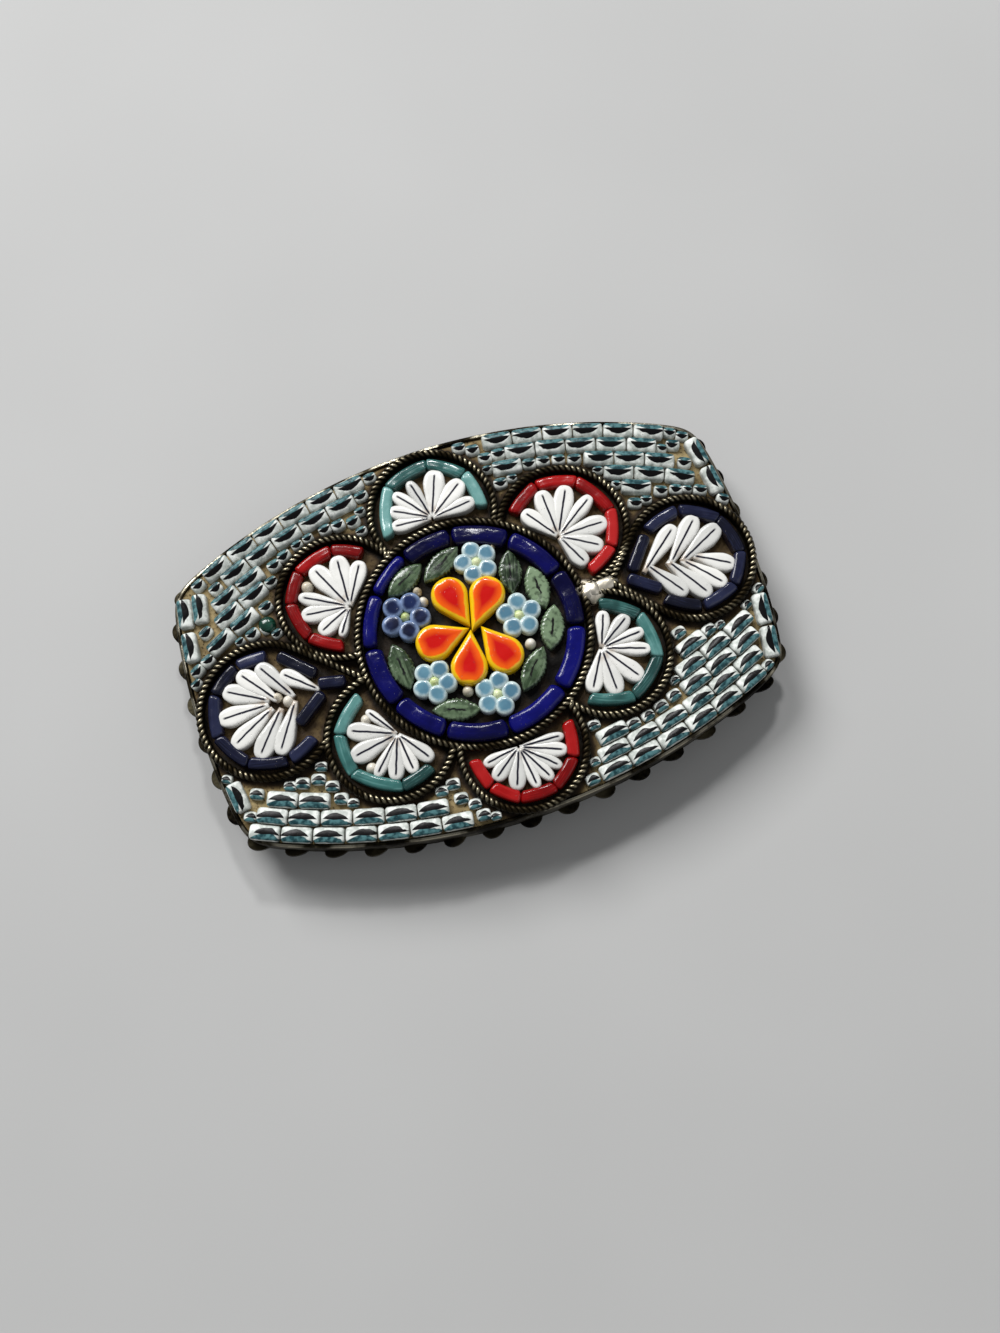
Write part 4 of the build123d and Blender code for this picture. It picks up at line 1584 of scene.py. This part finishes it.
class Sweeps:
    """Profiles carried along several lines, joined into one mesh."""

    def __init__(self) -> None:
        """Starts with none."""
        self.points: list[Array] = []
        self.faces: list[Array] = []
        self.traits: list[Array] = []
        self.count = 0

    def add(self, rings: Array, closed: bool, turned: bool = False, traits: Array | None = None) -> None:
        """Adds one row of rings: quads between them, and caps on the ends of an open row.

        Args:
            rings: Points of rings by sides by three.
            closed: Whether the last ring joins the first.
            turned: Whether the rings run the other way, so that the faces are turned round.
            traits: Traits of each point.
        """
        rows, sides = rings.shape[:2]
        side = np.arange(sides)
        parts = [grid_faces(rows, sides, closed, True)]
        if not closed:
            parts.append(np.stack([side, (rows - 1) * sides + side[::-1]]))
        for part in parts:
            self.faces.append((part[:, ::-1] if turned else part) + self.count)
        self.points.append(rings.reshape(-1, 3))
        if traits is not None:
            self.traits.append(traits.reshape(-1, 3))
        self.count += rows * sides

    def make(self, name: str, finish: Brass, crease: float = 50.0) -> bpy.types.Object:
        """Makes them as one piece that stands for a part of the tray.

        Args:
            name: Name of the piece.
            finish: Its brass.
            crease: Edges sharper than this many degrees stay sharp.

        Returns:
            The new object.
        """
        traits = np.concatenate(self.traits) if self.traits else None
        points = np.concatenate(self.points)
        piece = make_piece(name, points, self.faces, look(finish), None, traits, crease)
        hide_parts("tray")
        return piece


@dataclass
class TwistedWire:
    """Two round strands wound about each wire's line, on top of the cell walls."""

    strand: float = 0.18
    offset: float = 0.145
    pitch: float = 0.9
    top: float = 1.0
    steps: int = 12
    sides: int = 8
    slack: float = 0.25
    slack_size: float = 2.5
    seed: int = 7

    def strand_rings(
        self, frames: tuple[Array, Array, Array, Array], phase: Array, rate: float
    ) -> tuple[Array, Array, Array]:
        """The rings of one strand.

        With p the phase, the strand's middle is offset (cos p beside + sin p up) off the line.
        Round it goes a circle in the plane square to the strand's own direction. A point's rise is
        its height over the line's middle, and its crest how far it faces outwards, both as shares.

        Args:
            frames: Points of the line, and the directions along, beside and up.
            phase: Turn of the strand at each point.
            rate: Turn for each millimetre.

        Returns:
            The points, their rise and their crest, of rings by sides.
        """
        points, ahead, beside, up = frames
        around = polar(directions(self.sides), 1.0)[None, :, :, None]
        cos, sin = np.cos(phase)[:, None], np.sin(phase)[:, None]
        outward = cos * beside + sin * up
        forward = unit(ahead + self.offset * rate * (cos * up - sin * beside))
        bind = np.cross(forward, outward)
        ring = around[:, :, 0] * outward[:, None] + around[:, :, 1] * bind[:, None]
        rings = (points + self.offset * outward)[:, None] + self.strand * ring
        whole = self.strand + self.offset
        height = np.einsum("nkc,nc->nk", rings - points[:, None], up) / whole
        crest = np.broadcast_to((self.offset + self.strand * around[..., 0, 0]) / whole, height.shape)
        return rings, (height + 1) / 2, crest

    def build(self) -> bpy.types.Object:
        """Makes both strands of every wire, with whole turns on the closed one.

        An open wire starts at a turn of its own, and its twist is uneven. Each strand has a tone.

        Returns:
            The new object.
        """
        sweeps = Sweeps()
        rng = np.random.default_rng(self.seed)
        for wire in setting_wires():
            length = wire.spread(self.pitch / self.steps)
            frames = wire.frames(self.top - self.strand - self.offset)
            count = len(wire.line)
            turns = max(round(length / self.pitch), 1)
            phase = np.arange(count) * (turns / (count if wire.closed else count - 1)) * 2 * np.pi
            if not wire.closed:
                phase += rng.uniform(0, np.pi)
                phase += self.slack * lumps(wire.line[:, 0], wire.line[:, 1], self.slack_size, 3.0)
            for half_turn in (0.0, np.pi):
                rings, rise, crest = self.strand_rings(frames, phase + half_turn, 2 * np.pi * turns / length)
                # Rise and crest decide where the wire gets its painted highlight and painted shade.
                traits = np.stack([np.full_like(rise, rng.random()), rise, crest], -1)
                sweeps.add(rings, wire.closed, True, traits)
        return sweeps.make("twisted_wire", WIRE, 60.0)


@dataclass
class CellWalls:
    """The strip that each twisted wire stands on: an oblong profile carried along its line."""

    half: float = 0.2
    low: float = -0.55
    shoulder: float = 0.5
    top: float = 0.68
    step: float = 0.35

    def build(self) -> bpy.types.Object:
        """Makes the walls. A profile's point is (share of the half width, height over the face).

        Returns:
            The new object.
        """
        profile = np.array([
            [-1, self.low], [-1, self.shoulder], [-0.5, self.top],
            [0.5, self.top], [1, self.shoulder], [1, self.low]])
        sweeps = Sweeps()
        for wire in setting_wires():
            wire.spread(self.step)
            points, _, beside, up = wire.frames(0.0)
            out = beside[:, None] * profile[None, :, :1] * self.half
            sweeps.add(points[:, None] + out + up[:, None] * profile[None, :, 1:], wire.closed)
        return sweeps.make("cell_walls", SHEET)


@dataclass
class RimStrip:
    """The thin upright rim: a profile of inset and height carried round the edge."""

    wall: float = 0.3
    inset: float = 0.02
    foot: float = 3.1
    shoulder: float = 0.22
    top: float = 0.33
    bevel: float = 0.08
    inner_foot: float = -0.4
    wave: float = 0.035
    wave_size: float = 1.7
    wave_radius: float = 22.0
    count: int = 900

    def build(self) -> bpy.types.Object:
        """Makes the rim. Its upper points are lowered by wave (1 - lumps), and its foot is level.

        Returns:
            The new object.
        """
        turn = directions(self.count)
        place = polar(turn, self.wave_radius)
        sag = self.wave * (lumps(place[:, 0], place[:, 1], self.wave_size, 11.0) - 1)
        foot = polar(turn, RIM.reach(turn, self.inset))
        rows = [np.concatenate([foot, np.full((self.count, 1), self.foot)], -1)]
        upper = (
            (0.0, self.shoulder), (self.bevel, self.top), (self.wall - self.bevel, self.top),
            (self.wall, self.shoulder), (self.wall, self.inner_foot))
        for inset, lift in upper:
            ring = polar(turn, RIM.reach(turn, inset + self.inset))
            height = DOME.place(ring[:, 0], ring[:, 1], lift)[:, 2]
            if lift > 0:
                height = height + sag
            rows.append(np.concatenate([ring, height[:, None]], -1))
        # Rise of each profile row: the top rows take the painted highlight, the lower rows the painted shade.
        rise = np.tile([0.0, 0.6, 1.0, 1.0, 0.6, 0.0], (self.count, 1))
        sweeps = Sweeps()
        sweeps.add(np.stack(rows, 1), True, False, np.stack([0 * rise, rise, 0 * rise], -1))
        return sweeps.make("rim", RIM_WEAR_AND_SHEEN)


@dataclass
class Plate:
    """The plate under everything, with round tabs along its edge and softened corners."""

    low: float = 2.8
    top: float = 3.3
    tab_pitch: float = 3.0
    tab_radius: float = 0.95
    tab_reach: float = 0.58
    soft: float = 0.08
    soft_inset: float = 0.06
    flat_inset: float = 0.35
    inside: float = 2.0
    count: int = 1800

    def tabs(self, turn: Array) -> Array:
        """How far the tabs stand out from the edge.

        A tab stands out by sqrt(r^2 - s^2) - (r - reach), s being the distance along the edge from
        the tab's middle, and by nothing where that is below 0.

        Args:
            turn: Directions, in radians.

        Returns:
            One distance for each direction.
        """
        ring = polar(turn, RIM.reach(turn))
        steps = np.linalg.norm(np.diff(np.concatenate([ring, ring[:1]]), axis=0), axis=1)
        gone = np.concatenate([[0.0], np.cumsum(steps)])
        number = round(gone[-1] / self.tab_pitch)
        share = gone[:-1] / gone[-1] * number
        off = (share - np.round(share)) * gone[-1] / number
        out = np.sqrt(np.maximum(self.tab_radius ** 2 - off ** 2, 0)) - (self.tab_radius - self.tab_reach)
        return np.maximum(out, 0.0)

    def build(self) -> bpy.types.Object:
        """Makes the plate: rings of inset and height from the underside round the edge to the top.

        Returns:
            The new object.
        """
        turn = directions(self.count)
        edge = RIM.reach(turn)
        tabbed = edge + self.tabs(turn)
        low, top = self.low, self.top
        profile = (
            (edge, self.inside, low), (tabbed, self.flat_inset, low), (tabbed, self.soft_inset, low),
            (tabbed, 0.0, low + self.soft), (tabbed, 0.0, top - self.soft), (tabbed, self.soft_inset, top),
            (tabbed, self.flat_inset, top), (edge, self.inside, top))
        height = np.ones((self.count, 1))
        rows = [np.concatenate([polar(turn, reach - inset), z * height], -1) for reach, inset, z in profile]
        points = np.concatenate([np.stack(rows, 1).reshape(-1, 3), [[0, 0, low], [0, 0, top]]])
        skin = grid_faces(self.count, len(rows), True, False)
        first = np.arange(self.count) * len(rows)
        pole = self.count * len(rows)
        below = fan_faces(first, pole)[:, [0, 2, 1]]
        above = fan_faces(first + len(rows) - 1, pole + 1)
        piece = make_piece("plate", points, [skin, below, above], look(SHEET))
        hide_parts("tray")
        return piece


@dataclass
class Setting:
    """The tray: plate with scalloped edge, rim, cell walls and twisted wire."""

    plate: Plate = field(default_factory=Plate)
    rim: RimStrip = field(default_factory=RimStrip)
    walls: CellWalls = field(default_factory=CellWalls)
    wire: TwistedWire = field(default_factory=TwistedWire)

    def build(self) -> None:
        """Makes the whole tray."""
        self.plate.build()
        self.rim.build()
        self.walls.build()
        self.wire.build()


@dataclass
class Bed:
    """The cement: one uneven skin from the rim to the middle, closed below."""

    rings: int = 84
    spokes: int = 660
    low: float = 3.35
    in_open: float = 0.1
    in_cells: float = 0.5
    in_disc: float = 0.95
    by_wires: float = 0.85
    wire_half: float = 0.3
    halo: float = 0.8
    level: float = 0.12
    disc_drop: float = 0.1
    edge_slope: float = 0.6
    mean_reach: float = 22.0

    def shades(self, x: Array, y: Array) -> Array:
        """How dark the cement is, from 0 to 1.

        It has one shade in the open, one in the cells and one in the disc. Beside a wire it is at
        least b (1 - smooth((d - h) / w)), with b the shade by wires, d the distance from the wire's
        line, h its half width and w the halo.

        Args:
            x: Positions along.
            y: Positions across.

        Returns:
            One shade for each position.
        """
        from_disc = DISC.distance(x, y)
        shade = np.full_like(x, self.in_open)
        near = np.abs(from_disc - DISC.radius)
        for cell in CELLS:
            away = cell.distance(x, y)
            shade = np.where(away < cell.radius, self.in_cells, shade)
            near = np.minimum(near, np.abs(away - cell.radius))
        shade = np.where(from_disc < DISC.radius, self.in_disc, shade)
        return np.maximum(shade, self.by_wires * (1 - smooth((near - self.wire_half) / self.halo)))

    def build(self) -> bpy.types.Object:
        """Makes the cement. Each point is a share of the way out to the rim's inside.

        It stands level + 0.1 fine lumps + 0.12 wide lumps over the face, lower in the disc, and
        slopes to the face itself over the last stretch to the rim.

        Returns:
            The new object.
        """
        turn = directions(self.spokes)
        reach = RIM.reach(turn, BED_INSET)
        share = np.linspace(1.0, 1.0 / self.rings, self.rings)
        x, y = share[:, None] * reach * np.cos(turn), share[:, None] * reach * np.sin(turn)
        rough = 0.10 * lumps(x, y, 0.75, 1.0) + 0.12 * lumps(x, y, 2.1, 2.0)
        lift = self.level + rough - self.disc_drop * (DISC.distance(x, y) < DISC.radius)
        slope = np.clip((1 - share) * self.mean_reach / self.edge_slope, 0, 1)[:, None]
        top = np.stack([x, y, DOME.place(x, y, lift * slope)[..., 2]], -1)
        skirt = np.stack([x[0], y[0], np.full(self.spokes, self.low)], -1)
        rows = np.concatenate([skirt[None], top])
        points = np.concatenate([rows.reshape(-1, 3), [top[-1].mean(0)], [[0, 0, self.low]]])
        shade = self.shades(x, y)
        dark = np.concatenate([shade[:1].ravel(), shade.ravel(), [self.by_wires] * 2])
        traits = np.stack([dark, np.ones_like(dark), np.ones_like(dark)], -1)
        skin = grid_faces(len(rows), self.spokes, False, True)
        here = np.arange(self.spokes)
        pole = len(rows) * self.spokes
        inner = fan_faces(here + pole - self.spokes, pole)
        under = fan_faces(here, pole + 1)[:, [1, 0, 2]]
        piece = make_piece("cement_bed", points, [skin, inner, under], look(PUTTY), None, traits)
        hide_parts("cement")
        return piece


# The stones

@dataclass
class Centre:
    """The disc: a ring of cobalt bars, leaves and petals about the middle, and small flowers."""

    bars: int = 11
    petals: int = 5
    leaves: int = 8
    flowers: int = 5
    dark_flower: int = 1

    def build(self) -> None:
        """Makes every stone of the disc in its solid's place."""
        for number in range(1, self.bars + 1):
            dress(f"cobalt_bar_{number:02d}", Kind.BENT, Bars, COBALT, number,
                  round_over=0.4, corner=0.4, uneven=0.07)
        for number in range(1, self.petals + 1):
            dress(f"orange_petal_{number}", Kind.PETAL, Petals, ORANGE, number, longer=0.08, wider=0.2,
                  back=0.22, stations=29, ribs=23, round_over=0.5, wall=0.66, low_root=0.9)
        for number in range(1, self.leaves + 1):
            dress(f"leaf_{number}", Kind.STRAIGHT, Leaves, LEAF, number, longer=0.2, wider=0.5)
        for number in range(1, self.flowers + 1):
            glass = NIGHT if number == self.dark_flower else SKY
            dress(f"small_flower_{number}", Kind.STRAIGHT, Stones, glass, number, longer=0.4, wider=0.4,
                  stations=13, ribs=13, round_over=0.25, wall=0.65)


CELL_GLASS = {
    "top": TEAL, "upper_right": RED, "lower_right": TEAL, "bottom": RED,
    "lower_left": TEAL, "upper_left": RED, "drop_left": NAVY, "drop_right": NAVY}

# Tones of a cell's bars, from 0, deep, to 1, pale. Cells that have none here draw them
CELL_TONES = {
    "top": (0.95, 0.25, 0.3, 0.9), "upper_right": (0.2, 0.5, 0.95, 0.3, 1.0),
    "lower_left": (0.5, 0.75, 0.5, 0.0)}


@dataclass
class CellStones:
    """The lobes and drops: bars round the outside, a fan of white petals within."""

    straighter: float = 0.5
    lobe_growth: float = 0.26
    drop_growth: float = 0.38
    root_growth: float = 0.4
    bar_seed: int = 20
    fan_seed: int = 40

    def build(self) -> None:
        """Makes the bars and petals of every cell."""
        for number, cell in enumerate(CELLS):
            dress(f"bars_{cell.name}", Kind.BENT, Bars, CELL_GLASS[cell.name], number + self.bar_seed, cell,
                  straighter=self.straighter, tones=CELL_TONES.get(cell.name, ()))
            more = self.lobe_growth if cell.tip_x is None else self.drop_growth
            dress(f"fan_{cell.name}", Kind.PETAL, Rods, MILK, number + self.fan_seed,
                  longer=more, wider=more, back=self.root_growth)


@dataclass
class Fields:
    """The corners: rows of banded bricks that follow the rim, and the small chips between them."""

    names: tuple[str, ...] = ("upper_left", "upper_right", "lower_right", "lower_left")
    growth: float = 0.08
    least: float = 0.36
    largest: float = 0.52
    wire_half: float = 0.36
    grid: float = 0.12
    chip_height: float = 0.8
    chip_length: float = 2.15
    chip_width: float = 1.75
    chip_boxy: float = 3.5
    row_radius: float = 48.0
    search_x: float = 22.0
    search_y: float = 15.0
    brick_seed: int = 60
    chip_seed: int = 82

    def cell_room(self, x: Array, y: Array, cell: Cell) -> Array:
        """How far places lie outside a cell's wire, and below 0 inside it.

        Beside a tip this is the distance from the straight line that touches the cell's circle.

        Args:
            x: Positions along.
            y: Positions across.
            cell: The cell.

        Returns:
            One distance for each position.
        """
        room = cell.distance(x, y) - cell.radius - self.wire_half
        if cell.tip_x is None:
            return room
        lean = np.arccos(cell.radius / abs(cell.tip_x - cell.x))
        radius = cell.radius + self.wire_half
        ahead, aside = (x - cell.x) * np.sign(cell.tip_x - cell.x), np.abs(y - cell.y)
        beside = ahead * np.cos(lean) + aside * np.sin(lean) - radius
        return np.where(ahead > radius * np.cos(lean), beside, room)

    def room(self, places: Array, taken: list[Seats]) -> Array:
        """How far places lie from the rim, the wires and the stones, and below 0 inside a cell.

        Args:
            places: x and y of many places.
            taken: The bricks that are laid already.

        Returns:
            One distance for each place.
        """
        x, y = places[:, 0], places[:, 1]
        room = RIM.reach(np.arctan2(y, x), BED_INSET) - np.hypot(x, y)
        for cell in (DISC, *CELLS):
            room = np.minimum(room, self.cell_room(x, y, cell))
        for seats in taken:
            for foot, along, across, length, width in zip(
                    seats.foot, seats.along, seats.across, seats.length, seats.width):
                away = places - foot[:2]
                past_end = np.maximum(np.abs(away @ along[:2]) - length / 2, 0)
                past_side = np.maximum(np.abs(away @ across[:2]) - width / 2, 0)
                room = np.minimum(room, np.hypot(past_end, past_side))
        return room

    def chips(self, taken: list[Seats]) -> list[tuple[float, ...]]:
        """Places for chips: the roomiest spot that is left takes the next one, again and again.

        A chip turns with its row: by -asin(|x| / row radius) in the upper right and lower left
        corners, and the other way in the other two.

        Args:
            taken: The bricks that are laid already.

        Returns:
            x, y, turn, length and width of each chip.
        """
        across = np.arange(-self.search_x, self.search_x, self.grid)
        x, y = np.meshgrid(across, np.arange(-self.search_y, self.search_y, self.grid))
        places = np.stack([x.ravel(), y.ravel()], -1)
        room = self.room(places, taken)
        table = []
        while room.max() > self.least:
            best = int(room.argmax())
            half = min(float(room[best]), self.largest)
            spot_x, spot_y = places[best]
            slant = math.degrees(math.asin(abs(spot_x) / self.row_radius))
            turn = -slant * math.copysign(1, spot_x * spot_y)
            table.append((spot_x, spot_y, turn, half * self.chip_length, half * self.chip_width))
            room = np.minimum(room, np.hypot(places[:, 0] - spot_x, places[:, 1] - spot_y) - half)
        return table

    def build(self) -> None:
        """Makes the bricks of every corner, then the chips where no brick stands."""
        laid = [
            dress(f"field_{name}", Kind.STRAIGHT, Bricks, BANDED, number + self.brick_seed,
                  longer=self.growth, wider=self.growth)
            for number, name in enumerate(self.names)]
        chips = face_seats(self.chips(laid), self.chip_height, self.chip_boxy)
        chips.face_out()
        bricks = Bricks(chips, seed=self.chip_seed, stations=11, ribs=11)
        bricks.make("brick_chips", look(BANDED), BANDED.slot)


# Places on the face: x, y, turn, length and width

WHITE_BEADS = [
    (-11.35, 7.06, 0, 0.96, 0.96), (-10.9, -7.84, 0, 0.9, 0.9), (-10.2, -4.24, 0, 0.84, 0.84),
    (-16.0, -0.39, 0, 0.76, 0.76), (-15.3, -0.94, 0, 0.9, 0.9), (-3.5, 3.94, 0, 0.72, 0.72),
    (-3.31, 3.03, 0, 0.78, 0.78), (3.36, -2.71, 0, 0.86, 0.86), (-2.27, -4.65, 0, 0.86, 0.86),
    (3.05, 5.46, 80, 0.8, 0.4)]
HEARTS = [
    (-4.97, 2.25, 0, 0.86, 0.86), (1.48, 4.62, 0, 0.95, 0.95), (3.22, -0.40, 0, 0.95, 0.95),
    (-4.45, -3.23, 0, 0.95, 0.95), (-0.26, -5.63, 0, 0.95, 0.95)]
GREEN_BEAD = [(-15.1, 5.26, 0, 1.4, 1.4)]
SOLDER = [(9.7, -0.25, 8, 3.3, 1.3), (8.95, -0.1, -24, 2.0, 1.5), (9.35, -0.55, 30, 1.9, 1.3)]


@dataclass
class Beads:
    """Round beads of glass in the disc and in the cells, and the drop of solder at one tip."""

    bead_height: float = 1.05
    heart_height: float = 1.2
    green_height: float = 0.95
    drop_height: float = 1.25
    drop_boxy: float = 2.8
    bead_seed: int = 90
    drop_seed: int = 95

    def build(self) -> None:
        """Makes them, one piece for each kind of glass, with ovals as outlines."""
        for name, table, height, glass in (
                ("white_beads", WHITE_BEADS, self.bead_height, PEARL),
                ("flower_hearts", HEARTS, self.heart_height, HEART),
                ("green_bead", GREEN_BEAD, self.green_height, SPRING)):
            seats = face_seats(table, height, 2.0)
            beads = Stones(seats, seed=self.bead_seed, stations=11, ribs=11, wall=0.3, round_over=0.45)
            beads.make(name, look(glass), glass.slot)
        # The solder drop's near-white colour is a painted glare on silvery solder.
        blob = face_seats(SOLDER, self.drop_height, self.drop_boxy)
        drop = Stones(blob, seed=self.drop_seed, wall=0.62, round_over=0.6, uneven=0.12)
        drop.make("solder_drop", look(SOLDER_GLARE), SOLDER_GLARE.slot)


@dataclass
class PinFitting:
    """The closed pin with its strip and blocks, one plain piece under the plate."""

    node: str = "pin_fitting"

    def dress(self) -> None:
        """Gives the fitting its brass."""
        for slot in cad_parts[self.node].material_slots:
            slot.material = look(FITTING)


# The studio

def put_in_scene(
    name: str, data: bpy.types.ID, right: Array, back: Array, where: Array
) -> bpy.types.Object:
    """Makes a camera or a lamp that looks away from its back.

    Args:
        name: Its name.
        data: The camera's or the lamp's own data.
        right: Direction of its right side.
        back: Direction of its back.
        where: Its place in metres.

    Returns:
        The new object.
    """
    holder = bpy.data.objects.new(name, data)
    bpy.context.scene.collection.objects.link(holder)
    rows = np.eye(4)
    rows[:3] = np.stack([right, np.cross(back, right), back, where], -1)
    holder.matrix_world = Matrix(rows.tolist())
    return holder


@dataclass(frozen=True)
class Lamp:
    """A square soft light, turned to the brooch, in metres and watts."""

    name: str
    place: tuple[float, float, float]
    size: float
    power: float

    def build(self) -> None:
        """Hangs the lamp."""
        data = bpy.data.lights.new(self.name, "AREA")
        data.size = self.size
        data.energy = self.power
        back = unit(np.array(self.place))
        put_in_scene(self.name, data, unit(np.cross([0.0, 0.0, 1.0], back)), back, np.array(self.place))


@dataclass
class Studio:
    """Floor, lights and camera. The focal length and the image's height are in pixels."""

    distance: float = 113.64
    turn: float = -18.8
    rise: float = 77.0
    aim: tuple[float, float, float] = (-0.4, -0.54, 6.0)
    across: float = -1.947
    down: float = 2.576
    focal: float = 1500.0
    image_height: float = 1333.0
    sensor: float = 36.0
    floor_half: float = 1.0
    sky: Colour = (0.86, 0.88, 0.9)
    sky_strength: float = 0.23
    lamps: tuple[Lamp, ...] = (
        Lamp("window", (-0.2, 0.52, 0.52), 0.32, 5.3),
        Lamp("glint", (0.1, 0.32, 0.42), 0.05, 0.8),
        Lamp("fill", (0.5, -0.3, 0.5), 0.6, 0.6))

    def camera(self) -> None:
        """Places the camera: aim + back d - right a - up b, in the photograph's direction."""
        turn, rise = math.radians(self.turn), math.radians(self.rise)
        back = np.array([math.sin(turn) * math.cos(rise), -math.cos(turn) * math.cos(rise), math.sin(rise)])
        right = np.array([math.cos(turn), math.sin(turn), 0.0])
        up = np.cross(back, right)
        where = np.array(self.aim) + back * self.distance - right * self.across - up * self.down
        data = bpy.data.cameras.new("photo_camera")
        data.sensor_fit = "VERTICAL"
        data.sensor_height = self.sensor
        data.lens = self.sensor * self.focal / self.image_height
        data.clip_start = MM
        bpy.context.scene.camera = put_in_scene("photo_camera", data, right, back, where * MM)

    def floor(self) -> None:
        """A wide pale floor under the brooch, with a faint unevenness of tone."""
        half = self.floor_half
        data = bpy.data.meshes.new("floor")
        corners = [(-half, -half, 0), (half, -half, 0), (half, half, 0), (-half, half, 0)]
        data.from_pydata(corners, [], [(0, 1, 2, 3)])
        made, graph = new_material("pale_floor")
        shader = made.node_tree.nodes["Principled BSDF"]
        tone = graph.mix(graph.noise(graph.place(), 30.0), ink(182, 182, 181), ink(192, 192, 191))
        graph.feed(shader.inputs["Base Color"], tone)
        shader.inputs["Roughness"].default_value = 0.7
        data.materials.append(made)
        ground = bpy.data.objects.new("floor", data)
        bpy.context.scene.collection.objects.link(ground)

    def light(self) -> None:
        """Hangs the lamps and sets the even light of the room."""
        for lamp in self.lamps:
            lamp.build()
        world = bpy.data.worlds.new("studio")
        world.use_nodes = True
        room = world.node_tree.nodes["Background"]
        room.inputs[0].default_value = (*self.sky, 1.0)
        room.inputs[1].default_value = self.sky_strength
        bpy.context.scene.world = world
        bpy.context.scene.view_settings.view_transform = "Standard"

    def build(self) -> None:
        """Sets up the studio."""
        self.camera()
        self.floor()
        self.light()


def main() -> None:
    """Builds the brooch and its studio."""
    logging.basicConfig(level=logging.INFO, format="%(name)s: %(message)s")
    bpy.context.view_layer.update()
    Studio().build()
    Setting().build()
    Bed().build()
    Centre().build()
    CellStones().build()
    Fields().build()
    Beads().build()
    PinFitting().dress()
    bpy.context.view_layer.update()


if __name__ == "__main__":
    main()
